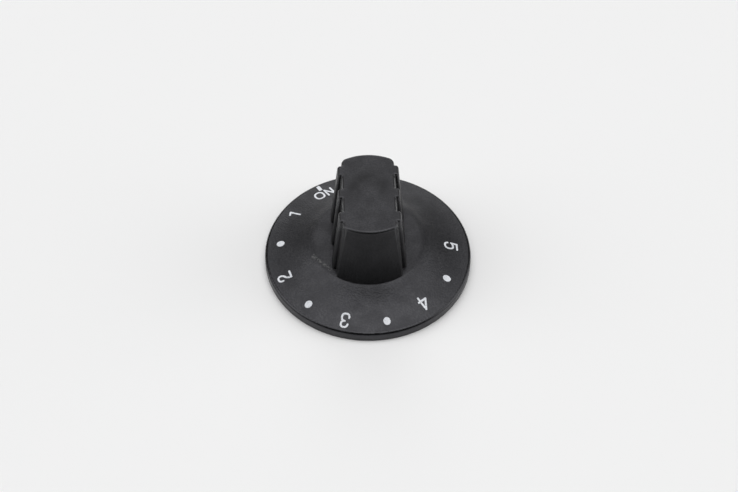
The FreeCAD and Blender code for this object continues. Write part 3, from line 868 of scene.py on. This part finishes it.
def lay_mark(ink, flat, angle, radius, lift=0):
    """Place a flat mark with its top outwards, let it down onto the skin and add it to the ink."""
    divide(flat)
    facing = Matrix.Rotation(angle - math.pi / 2, 3, "Z")
    outwards = Vector((math.cos(angle), math.sin(angle), 0))
    bmesh.ops.rotate(flat, verts=flat.verts[:], cent=(0, 0, 0), matrix=facing)
    bmesh.ops.translate(flat, verts=flat.verts[:], vec=outwards * radius + PRINT_SHIFT)
    for vert in flat.verts:
        vert.co.z = skin_height(math.hypot(vert.co.x, vert.co.y)) + INK_THICKNESS + lift
    grown = bmesh.ops.extrude_face_region(flat, geom=flat.faces[:])["geom"]
    lower = only(grown, bmesh.types.BMVert)
    bmesh.ops.translate(flat, verts=lower, vec=(0, 0, -2 * INK_THICKNESS))
    weld(flat)
    bmesh.ops.recalc_face_normals(flat, faces=flat.faces[:])
    sheet = bpy.data.meshes.new("mark")
    flat.to_mesh(sheet)
    flat.free()
    ink.from_mesh(sheet)
    bpy.data.meshes.remove(sheet)


# Each mark with its angle from +X in degrees and its distance from the print's centre
MARKS = [
    ("OFF", 91.1, 26.2 * MM),
    ("ON", 118.1, 26.2 * MM),
    ("1", 145.2, 26.2 * MM),
    ("dot", 172.0, 26.1 * MM),
    ("2", 200.4, 26.2 * MM),
    ("dot", 227.4, 26.1 * MM),
    ("3", 254.2, 26.4 * MM),
    ("dot", 281.0, 26.3 * MM),
    ("4", 309.0, 25.3 * MM),
    ("dot", 335.0, 25.8 * MM),
    ("5", 362.9, 25.4 * MM),
]
ink = bmesh.new()
for mark, degrees, radius in MARKS:
    angle = math.radians(degrees)
    if mark == "dot":
        strokes = [flat_dot()]
    elif mark in WORD_STEPS:
        lay_mark(ink, flat_tick(), angle, radius + TICK_OUT)
        strokes = word_strokes(mark)
    else:
        strokes = glyph_strokes(mark, NUMERAL_SIZE, 0)
    for order, stroke in enumerate(strokes):
        lay_mark(ink, stroke, angle, radius, order * STROKE_LIFT)
print_piece = new_piece(ink, "dial_print")
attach(print_piece, "knob")
report(print_piece)

# %% [markdown]
# ## Shader helpers
#
# Materials are built from nodes. Short helpers add a node, feed a socket with a number or with
# another node's output, and make the sums that come back again and again, so that each material
# below reads as a list of its effects. Effects that several finishes share are node groups.

# %% Nodes and sums
def add(tree, kind, **settings):
    """A new shader node with some of its properties set."""
    made = tree.nodes.new("ShaderNode" + kind)
    for name, value in settings.items():
        setattr(made, name, value)
    return made


def feed(tree, socket, value):
    """Link an output to a socket, or set the socket's own number."""
    if isinstance(value, bpy.types.NodeSocket):
        tree.links.new(value, socket)
    else:
        socket.default_value = value


def combine(tree, operation, first, second=0.0):
    """One Math node."""
    made = add(tree, "Math", operation=operation)
    feed(tree, made.inputs[0], first)
    feed(tree, made.inputs[1], second)
    return made.outputs[0]


def product(tree, first, *others):
    """Several values multiplied."""
    for other in others:
        first = combine(tree, "MULTIPLY", first, other)
    return first


def remap(tree, value, low, high, to_low=0.0, to_high=1.0):
    """A smooth step from one range to another."""
    made = add(tree, "MapRange", interpolation_type="SMOOTHSTEP")
    for name, amount in (("Value", value), ("From Min", low), ("From Max", high),
                         ("To Min", to_low), ("To Max", to_high)):
        feed(tree, made.inputs[name], amount)
    return made.outputs["Result"]


def between(tree, share, low, high):
    """A value between two, by a share from 0 to 1."""
    return remap(tree, share, 0.0, 1.0, low, high)


# %% Places, marks and noise
def object_place(tree):
    """Where a point lies in the knob's frame."""
    return add(tree, "TexCoord").outputs["Object"]


def split(tree, vector):
    """The X, Y and Z of a vector."""
    made = add(tree, "SeparateXYZ")
    feed(tree, made.inputs["Vector"], vector)
    return made.outputs


def marked(tree, name):
    """The value of one of the mesh's attributes."""
    return add(tree, "Attribute", attribute_name=name).outputs["Fac"]


def noise(tree, vector, scale, detail=2.0):
    """The value of a noise texture."""
    made = add(tree, "TexNoise")
    feed(tree, made.inputs["Vector"], vector)
    feed(tree, made.inputs["Scale"], scale)
    made.inputs["Detail"].default_value = detail
    return made.outputs["Fac"]


# %% Groups
FLOAT = "NodeSocketFloat"
VECTOR = "NodeSocketVector"


def new_group(name, inputs, outputs):
    """A new node group: its tree, the values that it is given and the results that it owes."""
    tree = bpy.data.node_groups.new(name, "ShaderNodeTree")
    for label, kind in inputs:
        tree.interface.new_socket(label, in_out="INPUT", socket_type=kind)
    for label in outputs:
        tree.interface.new_socket(label, in_out="OUTPUT", socket_type=FLOAT)
    given = tree.nodes.new("NodeGroupInput").outputs
    owed = tree.nodes.new("NodeGroupOutput").inputs
    return tree, given, owed


def use_group(tree, group, **values):
    """Place a group in a material with its own values. Underscores stand for spaces."""
    made = add(tree, "Group", node_tree=group)
    for label, value in values.items():
        feed(tree, made.inputs[label.replace("_", " ")], value)
    return made.outputs


# %% [markdown]
# ## Shared effects
#
# ** Spark grain** is the fine pitted texture of the mould, with a broad mottle over it. A mould
# draw group tells open faces from walls, which slide out of the mould and come out smoother; its
# mask also paints the bar's walls darker and its top lighter, as painted shade and light. A
# painted shade group darkens an arch of the bar's top. A group for the rounds gives their
# polish, patchy and weaker below the heights that hands reach, and the mask of the painted
# light on the rounds of the marked points. **Dust** is a sprinkle of pale specks.
# **Scuff** is a thin broken scratch along a straight line. **Rolling marks** are the fine
# streaks of drawn steel strip.

# %% Spark grain group
NOISE_RANGE = (0.3, 0.7)
PIT_DETAIL = 3.0
MOTTLE_PER_PIT = 0.1
GRAIN_INPUTS = [("Pits Per Metre", FLOAT)]

grain_group, given, owed = new_group("Spark grain", GRAIN_INPUTS, ["Height", "Mottle"])
place = object_place(grain_group)
pits = noise(grain_group, place, given["Pits Per Metre"], PIT_DETAIL)
broad = noise(grain_group, place, product(grain_group, given["Pits Per Metre"], MOTTLE_PER_PIT))
feed(grain_group, owed["Height"], remap(grain_group, pits, *NOISE_RANGE))
feed(grain_group, owed["Mottle"], remap(grain_group, broad, *NOISE_RANGE))

# %% Open face and painted light group
OPEN_RANGE = (0.65, 0.9)

# Painted shade and light: this mask also colours the bar's walls darker than its top.
draw_and_light_group, given, owed = new_group("Mould draw and painted light", [], ["Open Face"])
feed(draw_and_light_group, owed["Open Face"], remap(draw_and_light_group, marked(draw_and_light_group, "upward"), *OPEN_RANGE))

# %% Painted top shade group
TOP_SHADE_OVAL = (1.0, 0.77, 0.0)
TOP_SHADE_RADIUS = 4.6 * MM
TOP_SHADE_WIDTH = 3.8 * MM
TOP_SHADE_FADE = (-4.0 * MM, 2.5 * MM)
BLOTCH_SCALE = 350.0
BLOTCH_RANGE = (0.3, 0.6, 0.6, 1.0)

# Painted shade: an arch of the bar's top, towards the back, is painted darker.
top_shade_group, given, owed = new_group("Painted top shade", [], ["Grease"])
place = object_place(top_shade_group)
oval = add(top_shade_group, "VectorMath", operation="MULTIPLY")
feed(top_shade_group, oval.inputs[0], place)
feed(top_shade_group, oval.inputs[1], TOP_SHADE_OVAL)
reach = add(top_shade_group, "VectorMath", operation="LENGTH")
feed(top_shade_group, reach.inputs[0], oval.outputs["Vector"])
off_arch = combine(top_shade_group, "SUBTRACT", reach.outputs["Value"], TOP_SHADE_RADIUS)
arch = remap(top_shade_group, combine(top_shade_group, "ABSOLUTE", off_arch), TOP_SHADE_WIDTH, 0.0)
behind = remap(top_shade_group, split(top_shade_group, place)["Y"], *TOP_SHADE_FADE)
blotchy = remap(top_shade_group, noise(top_shade_group, place, BLOTCH_SCALE), *BLOTCH_RANGE)
feed(top_shade_group, owed["Grease"], product(top_shade_group, arch, behind, blotchy))

# %% Rounds group: polish and painted light
PATCH_RANGE = (0.3, 0.65, 0.7, 1.0)
LEAST_TOUCH = 0.25
HANDLING_INPUTS = [("Patches Per Metre", FLOAT), ("Low", FLOAT), ("High", FLOAT)]

polish_and_light_group, given, owed = new_group("Handling and painted light", HANDLING_INPUTS, ["Polish", "Painted Round Light"])
place = object_place(polish_and_light_group)
patchy = remap(polish_and_light_group, noise(polish_and_light_group, place, given["Patches Per Metre"]), *PATCH_RANGE)
height = split(polish_and_light_group, place)["Z"]
touched_and_lit = remap(polish_and_light_group, height, given["Low"], given["High"], LEAST_TOUCH, 1.0)
polish = product(polish_and_light_group, marked(polish_and_light_group, "rounded"), patchy, touched_and_lit)
feed(polish_and_light_group, owed["Polish"], polish)
# Painted light: the marked rounds take a painted colour, a highlight on the bar and a dark line
# along the dial's rim.
feed(polish_and_light_group, owed["Painted Round Light"], product(polish_and_light_group, polish, marked(polish_and_light_group, "painted_light_facing")))

# %% Dust group
SPECK_RANGE = (0.035, 0.018)
DUST_INPUTS = [("Cells Per Metre", FLOAT), ("Amount", FLOAT)]

dust_group, given, owed = new_group("Dust", DUST_INPUTS, ["Specks"])
cells = add(dust_group, "TexVoronoi")
feed(dust_group, cells.inputs["Vector"], object_place(dust_group))
feed(dust_group, cells.inputs["Scale"], given["Cells Per Metre"])
chance = add(dust_group, "SeparateColor")
feed(dust_group, chance.inputs["Color"], cells.outputs["Color"])
present = combine(dust_group, "LESS_THAN", chance.outputs["Red"], given["Amount"])
speck = remap(dust_group, cells.outputs["Distance"], *SPECK_RANGE)
feed(dust_group, owed["Specks"], product(dust_group, speck, present))

# %% Scuff group
WANDER_SCALE = 600.0
GAP_SCALE = 2000.0
GAP_RANGE = (0.38, 0.62)
SCUFF_INPUTS = [("Start", VECTOR), ("Turn", VECTOR), ("Length", FLOAT), ("Half Width", FLOAT)]

scuff_group, given, owed = new_group("Scuff", SCUFF_INPUTS, ["Scratch"])
place = object_place(scuff_group)
along = add(scuff_group, "Mapping", vector_type="TEXTURE")
feed(scuff_group, along.inputs["Vector"], place)
feed(scuff_group, along.inputs["Location"], given["Start"])
feed(scuff_group, along.inputs["Rotation"], given["Turn"])
line = split(scuff_group, along.outputs["Vector"])
wander = combine(scuff_group, "SUBTRACT", noise(scuff_group, place, WANDER_SCALE), 0.5)
wander = product(scuff_group, wander, given["Half Width"])
off_line = combine(scuff_group, "ADD", line["Y"], wander)
off_line = combine(scuff_group, "ABSOLUTE", off_line)
across = remap(scuff_group, off_line, given["Half Width"], 0.0)
half_length = product(scuff_group, given["Length"], 0.5)
off_middle = combine(scuff_group, "SUBTRACT", line["X"], half_length)
off_middle = combine(scuff_group, "ABSOLUTE", off_middle)
inside = combine(scuff_group, "LESS_THAN", off_middle, half_length)
broken = remap(scuff_group, noise(scuff_group, place, GAP_SCALE), *GAP_RANGE)
feed(scuff_group, owed["Scratch"], product(scuff_group, across, inside, broken))

# %% Rolling marks group
STREAK_DETAIL = 4.0
ROLL_INPUTS = [("Along", VECTOR), ("Lines Per Metre", FLOAT)]

roll_group, given, owed = new_group("Rolling marks", ROLL_INPUTS, ["Streak"])
streaks = noise(roll_group, given["Along"], given["Lines Per Metre"], STREAK_DETAIL)
feed(roll_group, owed["Streak"], remap(roll_group, streaks, *NOISE_RANGE))
print("shared effects:", ", ".join(group.name for group in bpy.data.node_groups))

# %% [markdown]
# ## Black mouldings
#
# Both mouldings are one black plastic. The dial's grain is coarse enough to sparkle, and the
# bar's is finer. The bar's walls come out of the mould more matt than its top, and they are
# painted much darker than its top: painted shade on the walls, painted light on the top. Over
# that, colour, gloss and height all vary: the mottle shifts the grey and dulls the glints of the
# grain, the rounds are polished and carry painted light (a highlight on the bar, a dark line
# along the dial's rim), and a painted shade on the bar's top, dust and scuffs lie on top.

# %% Material helpers
# A Mix node has sockets of one name for every kind of data, so its colours go by their number
MIX_LOW = 6
MIX_HIGH = 7
MIX_RESULT = 2


def new_material(name):
    """A material with its tree and its Principled shader."""
    material = bpy.data.materials.new(name)
    material.use_nodes = True
    tree = material.node_tree
    return material, tree, tree.nodes["Principled BSDF"]


def tint(tree, share, low, high):
    """A colour between two, by a share that varies over the surface."""
    made = add(tree, "Mix", data_type="RGBA")
    feed(tree, made.inputs["Factor"], share)
    feed(tree, made.inputs[MIX_LOW], low)
    feed(tree, made.inputs[MIX_HIGH], high)
    return made.outputs[MIX_RESULT]


def surface(tree, shader, colour, matt, relief, depth, strength):
    """Feed a shader its colour, its roughness and a relief, of which 0 to 1 is the depth given."""
    bump = add(tree, "Bump")
    bump.inputs["Strength"].default_value = strength
    bump.inputs["Distance"].default_value = depth
    feed(tree, bump.inputs["Height"], relief)
    feed(tree, shader.inputs["Base Color"], colour)
    feed(tree, shader.inputs["Roughness"], matt)
    feed(tree, shader.inputs["Normal"], bump.outputs["Normal"])


def paint(piece, material):
    """Give a piece its one material."""
    piece.data.materials.clear()
    piece.data.materials.append(material)


# %% Scuffs
# Each scratch from one point of the plan to another, with its half width and its strength
SCUFFS = [
    ((-16.7 * MM, -5.0 * MM), (-15.5 * MM, -6.6 * MM), 0.8 * MM, 0.75),
    ((-15.2 * MM, -6.8 * MM), (-11.3 * MM, -11.1 * MM), 0.75 * MM, 0.7),
    ((-17.2 * MM, 5.2 * MM), (-16.0 * MM, 6.7 * MM), 0.3 * MM, 0.3),
    ((20.8 * MM, -4.6 * MM), (21.3 * MM, -7.4 * MM), 0.25 * MM, 0.25),
]


def scuff(tree, start, finish, half_width, strength):
    """The mask of one scratch between two points of the plan."""
    run = Vector(finish) - Vector(start)
    turn = (0, 0, math.atan2(run.y, run.x))
    mask = use_group(tree, scuff_group, Start=(*start, 0), Turn=turn, Length=run.length,
                     Half_Width=half_width)["Scratch"]
    return product(tree, mask, strength)


# %% Moulded plastic
COOL_GLOSS = (0.93, 0.93, 1.0, 1)
MOTTLE_BLACK = (0, 0, 0, 1)
MOTTLE_SHARE = 0.4
GLINT_SKIN = (0.06, 0.06, 0.062, 1)
GLINT_CLEAR = 0.38
GLINT_MOTTLED = 0.16
TOP_SHADE_BLACK = (0.001, 0.001, 0.001, 1)
DUST_GREY = (0.16, 0.16, 0.155, 1)
DUST_CELLS = 300.0
DUST_AMOUNT = 0.12
SCUFF_GREY = (0.15, 0.15, 0.145, 1)
SCUFF_MATT = 0.2
SCUFF_DEPTH = 0.6
RUB_PATCHES = 260.0
PAINTED_ROUND_SHARE = 0.85
ROUND_MATT = 0.18
MATT_SPREAD = 0.08
WALL_PITS = 0.3
GRAIN_STRENGTH = 0.8


def moulded(name, pits, depth, rubbed_and_lit, painted_round_light, wall, face, sheen, wall_matt, face_matt):
    """Black moulded plastic: its grain, the heights that hands rub, the painted light on its
    rounds, its colour and its roughness on walls and on open faces; the bar's wall and face colours
    are painted shade and painted light."""
    material, tree, shader = new_material(name)
    shader.inputs["Specular IOR Level"].default_value = sheen
    shader.inputs["Specular Tint"].default_value = COOL_GLOSS
    grain = use_group(tree, grain_group, Pits_Per_Metre=pits)
    open_face = use_group(tree, draw_and_light_group)["Open Face"]
    painted_top_shade = use_group(tree, top_shade_group)["Grease"]
    specks = use_group(tree, dust_group, Cells_Per_Metre=DUST_CELLS, Amount=DUST_AMOUNT)["Specks"]
    low, high = rubbed_and_lit
    polish_and_light = use_group(tree, polish_and_light_group, Patches_Per_Metre=RUB_PATCHES, Low=low, High=high)
    scratch = 0.0
    for line in SCUFFS:
        scratch = combine(tree, "MAXIMUM", scratch, scuff(tree, *line))
    scratch = product(tree, scratch, open_face)
    pitted = product(tree, grain["Height"], between(tree, open_face, WALL_PITS, 1.0))
    glint = product(tree, pitted, between(tree, grain["Mottle"], GLINT_CLEAR, GLINT_MOTTLED))

    # Painted shade and light: on the bar, the walls are much darker than the top.
    skin = tint(tree, open_face, wall, face)
    skin = tint(tree, product(tree, grain["Mottle"], MOTTLE_SHARE), skin, MOTTLE_BLACK)
    skin = tint(tree, glint, skin, GLINT_SKIN)
    # Painted shade: an arch of the bar's top is painted near black.
    skin = tint(tree, product(tree, painted_top_shade, open_face), skin, TOP_SHADE_BLACK)
    # Painted light on rounds: a highlight on the bar, a dark line along the dial's rim.
    skin = tint(tree, product(tree, polish_and_light["Painted Round Light"], PAINTED_ROUND_SHARE), skin, painted_round_light)
    skin = tint(tree, product(tree, specks, open_face), skin, DUST_GREY)
    skin = tint(tree, scratch, skin, SCUFF_GREY)

    uneven = product(tree, combine(tree, "SUBTRACT", grain["Mottle"], 0.5), MATT_SPREAD)
    matt = combine(tree, "ADD", between(tree, open_face, wall_matt, face_matt), uneven)
    matt = between(tree, polish_and_light["Polish"], matt, ROUND_MATT)
    matt = combine(tree, "ADD", matt, product(tree, scratch, SCUFF_MATT))

    relief = combine(tree, "SUBTRACT", pitted, product(tree, scratch, SCUFF_DEPTH))
    surface(tree, shader, skin, matt, relief, depth, GRAIN_STRENGTH)
    return material


# %% Dial and bar
DIAL_BLACK = (0.0115, 0.0115, 0.0130, 1)
# Painted dark line along the dial's rim round.
DIAL_RIM_PAINTED_DARK = (0.004, 0.004, 0.0045, 1)
# Painted shade and light: the bar's walls are much darker than its top and land.
BAR_WALL_PAINTED_SHADE = (0.0015, 0.0016, 0.0017, 1)
BAR_TOP_PAINTED_LIGHT = (0.0180, 0.0178, 0.0200, 1)
# Painted highlight on the bar's upper rounds.
BAR_ROUND_PAINTED_HIGHLIGHT = (0.045, 0.045, 0.047, 1)

paint(skirt, moulded("dial_plastic", pits=1900.0, depth=0.045 * MM, rubbed_and_lit=(-MM, MM),
                     painted_round_light=DIAL_RIM_PAINTED_DARK, wall=DIAL_BLACK, face=DIAL_BLACK, sheen=0.50,
                     wall_matt=0.38, face_matt=0.38))
paint(grip, moulded("grip_plastic", pits=2100.0, depth=0.03 * MM, rubbed_and_lit=(23 * MM, 29 * MM),
                    painted_round_light=BAR_ROUND_PAINTED_HIGHLIGHT, wall=BAR_WALL_PAINTED_SHADE, face=BAR_TOP_PAINTED_LIGHT, sheen=0.33,
                    wall_matt=0.50, face_matt=0.41))
print("mouldings painted")

# %% [markdown]
# ## Ink
#
# Pad-printed ink is a thin, slightly bluish white. It is a little uneven: the grain of the
# plastic shows through as pinholes, and the coat varies in strength. The grain group gives both,
# so nothing has to be painted by hand.

# %% Printed ink
INK_WHITE = (0.80, 0.82, 0.86, 1)
INK_THIN = (0.68, 0.70, 0.74, 1)
INK_PINHOLE = (0.22, 0.23, 0.24, 1)
INK_PITS = 2600.0
INK_MATT = (0.5, 0.62)
INK_RELIEF = 0.01 * MM
PINHOLE_RANGE = (0.1, 0.0)
FINE_STRENGTH = 0.4

ink_material, tree, shader = new_material("scale_ink")
coat = use_group(tree, grain_group, Pits_Per_Metre=INK_PITS)
white = tint(tree, coat["Mottle"], INK_WHITE, INK_THIN)
white = tint(tree, remap(tree, coat["Height"], *PINHOLE_RANGE), white, INK_PINHOLE)
matt = between(tree, coat["Mottle"], *INK_MATT)
surface(tree, shader, white, matt, coat["Height"], INK_RELIEF, FINE_STRENGTH)
paint(print_piece, ink_material)
print("ink painted")

# %% [markdown]
# ## Hub finishes
#
# The bush is dark grey nylon with a satin bloom, and its rounds are painted paler, as a painted
# highlight. The steels are brushed by their rolling: the rings carry streaks around the axis, so
# their noise reads only radius and height, and the leaf carries streaks along its length.

# %% Nylon
NYLON_DARK = (0.055, 0.056, 0.058, 1)
NYLON_PALE_AND_HIGHLIGHT = (0.085, 0.086, 0.088, 1)
NYLON_PITS = 1800.0
NYLON_PATCHES = 300.0
NYLON_MATT = (0.42, 0.55)
NYLON_RELIEF = 0.02 * MM

nylon, tree, shader = new_material("hub_nylon")
grain = use_group(tree, grain_group, Pits_Per_Metre=NYLON_PITS)
polish_and_light = use_group(tree, polish_and_light_group, Patches_Per_Metre=NYLON_PATCHES, Low=-MM, High=MM)
# Painted highlight: the polished rounds are painted paler, along with the random bloom.
bloom_and_painted_highlight = combine(tree, "MAXIMUM", grain["Mottle"], polish_and_light["Polish"])
grey = tint(tree, bloom_and_painted_highlight, NYLON_DARK, NYLON_PALE_AND_HIGHLIGHT)
matt = between(tree, grain["Mottle"], *NYLON_MATT)
surface(tree, shader, grey, matt, grain["Height"], NYLON_RELIEF, FINE_STRENGTH)
paint(bush, nylon)

# %% Steels
STEEL_LINES = 9000.0
STEEL_PITS = 4000.0
STEEL_MATT = (0.24, 0.4)
STEEL_RELIEF = 0.004 * MM
STEEL_STRENGTH = 0.5


def rolled_steel(name, dark, pale, around):
    """Steel strip with streaks around the knob's axis, or along its own length."""
    material, tree, shader = new_material(name)
    shader.inputs["Metallic"].default_value = 1.0
    place = split(tree, object_place(tree))
    across = add(tree, "CombineXYZ")
    if around:
        squares = [combine(tree, "POWER", place[axis], 2.0) for axis in ("X", "Y")]
        feed(tree, across.inputs["X"], combine(tree, "SQRT", combine(tree, "ADD", *squares)))
        feed(tree, across.inputs["Y"], place["Z"])
    else:
        feed(tree, across.inputs["X"], place["X"])
    streak = use_group(tree, roll_group, Along=across.outputs["Vector"],
                       Lines_Per_Metre=STEEL_LINES)["Streak"]
    stain = use_group(tree, grain_group, Pits_Per_Metre=STEEL_PITS)["Mottle"]
    steel = tint(tree, product(tree, streak, stain), dark, pale)
    matt = between(tree, streak, *STEEL_MATT)
    surface(tree, shader, steel, matt, streak, STEEL_RELIEF, STEEL_STRENGTH)
    return material


paint(leaf, rolled_steel("spring_steel", dark=(0.42, 0.41, 0.39, 1), pale=(0.60, 0.59, 0.57, 1),
                         around=False))
paint(band, rolled_steel("zinc_band", dark=(0.50, 0.51, 0.53, 1), pale=(0.70, 0.71, 0.72, 1),
                         around=True))
paint(clip, rolled_steel("blackened_clip", dark=(0.07, 0.07, 0.075, 1), pale=(0.16, 0.16, 0.17, 1),
                         around=True))
print("hub painted")

# %% [markdown]
# ## Floor and light
#
# The knob stands on plain white paper, and the camera looks down on it at about fifty degrees
# through a long lens. The light is a pale room: soft boxes to the left, to the right, at the back
# and at the ceiling, and nothing from the front, where the camera is. The dark front matters: on
# a black moulding it is what separates the faces from each other. Area lamps could do this too,
# but here the boxes are patches of the world that fade out, so no hard edge shows in the gloss.

# %% White floor
FLOOR_SIZE = 6.0
FLOOR_WHITE = (0.9, 0.9, 0.9, 1)
FLOOR_MATT = 0.9

bm = bmesh.new()
bmesh.ops.create_grid(bm, x_segments=1, y_segments=1, size=FLOOR_SIZE / 2)
floor = new_piece(bm, "white_floor")
floor_paper, tree, shader = new_material("floor_paper")
shader.inputs["Base Color"].default_value = FLOOR_WHITE
shader.inputs["Roughness"].default_value = FLOOR_MATT
shader.inputs["Specular IOR Level"].default_value = 0.0
paint(floor, floor_paper)
floor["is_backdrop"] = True

# %% Camera
PHOTO_WIDTH = 738
SENSOR = 36.0
FOCAL_PIXELS = 1500
AZIMUTH = math.radians(-2.75)
ELEVATION = math.radians(51.14)
ROLL = math.radians(1.05)
DISTANCE = 451.8 * MM
AIM = Vector((0, 0, RIM_HEIGHT))
AIM_OFF_CENTRE = (1.0, 5.07)


def heading(turn, rise):
    """The direction at an angle from +X about the knob's axis and at an angle above the floor."""
    flat = math.cos(rise)
    return Vector((math.cos(turn) * flat, math.sin(turn) * flat, math.sin(rise)))


back = heading(AZIMUTH - math.pi / 2, ELEVATION)
level = heading(AZIMUTH, 0)
upright = back.cross(level)
right = level * math.cos(ROLL) + upright * math.sin(ROLL)
up = upright * math.cos(ROLL) - level * math.sin(ROLL)
facing = Matrix((right, up, back)).transposed().to_4x4()

camera_data = bpy.data.cameras.new("camera")
camera_data.sensor_width = SENSOR
camera_data.lens = SENSOR * FOCAL_PIXELS / PHOTO_WIDTH
camera_data.shift_x = AIM_OFF_CENTRE[0] / PHOTO_WIDTH
camera_data.shift_y = AIM_OFF_CENTRE[1] / PHOTO_WIDTH
camera_data.clip_start = 1 * MM
camera = bpy.data.objects.new("camera", camera_data)
camera.matrix_world = Matrix.Translation(AIM + back * DISTANCE) @ facing
bpy.context.scene.collection.objects.link(camera)
bpy.context.scene.camera = camera
print("lens %.1f mm" % camera_data.lens)

# %% Room light
# Each box's azimuth from +X, its elevation and its half width in degrees, and its strength
ROOM_LIGHTS = {
    "ceiling": (0, 88, 32, 1.80),
    "left box": (180, 33, 36, 1.72),
    "left ceiling": (180, 60, 34, 0.80),
    "right box": (0, 60, 34, 1.10),
    "right low box": (0, 33, 36, 0.35),
    "right wall": (0, 8, 38, 1.80),
    "back wall": (90, 8, 38, 0.20),
    "back box": (90, 33, 28, 1.60),
    "back ceiling": (92, 67, 22, 1.10),
}
LIGHT_WHITE = (1, 1, 1, 1)


def toward(tree, azimuth, elevation, half_width):
    """1 where the sky lies in a direction, fading to 0 at the half width. Angles in degrees."""
    aim = add(tree, "VectorMath", operation="DOT_PRODUCT")
    feed(tree, aim.inputs[0], add(tree, "TexCoord").outputs["Generated"])
    feed(tree, aim.inputs[1], heading(math.radians(azimuth), math.radians(elevation)))
    return remap(tree, aim.outputs["Value"], math.cos(math.radians(half_width)), 1.0)


world = bpy.data.worlds.new("pale_room")
world.use_nodes = True
tree = world.node_tree
glow = 0.0
for *direction, strength in ROOM_LIGHTS.values():
    glow = combine(tree, "ADD", glow, product(tree, toward(tree, *direction), strength))
sky = tree.nodes["Background"]
feed(tree, sky.inputs["Strength"], glow)
sky.inputs["Color"].default_value = LIGHT_WHITE
bpy.context.scene.world = world
bpy.context.scene.view_settings.view_transform = "Standard"
print("room lit by:", ", ".join(ROOM_LIGHTS))

# %% [markdown]
# ## Model box
#
# The corners of the model's box are printed in millimetres.

# %% Sizes and finish
new_low, new_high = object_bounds()
for corner in (new_low, new_high):
    print("box corner in mm:", [round(value / MM, 2) for value in corner])
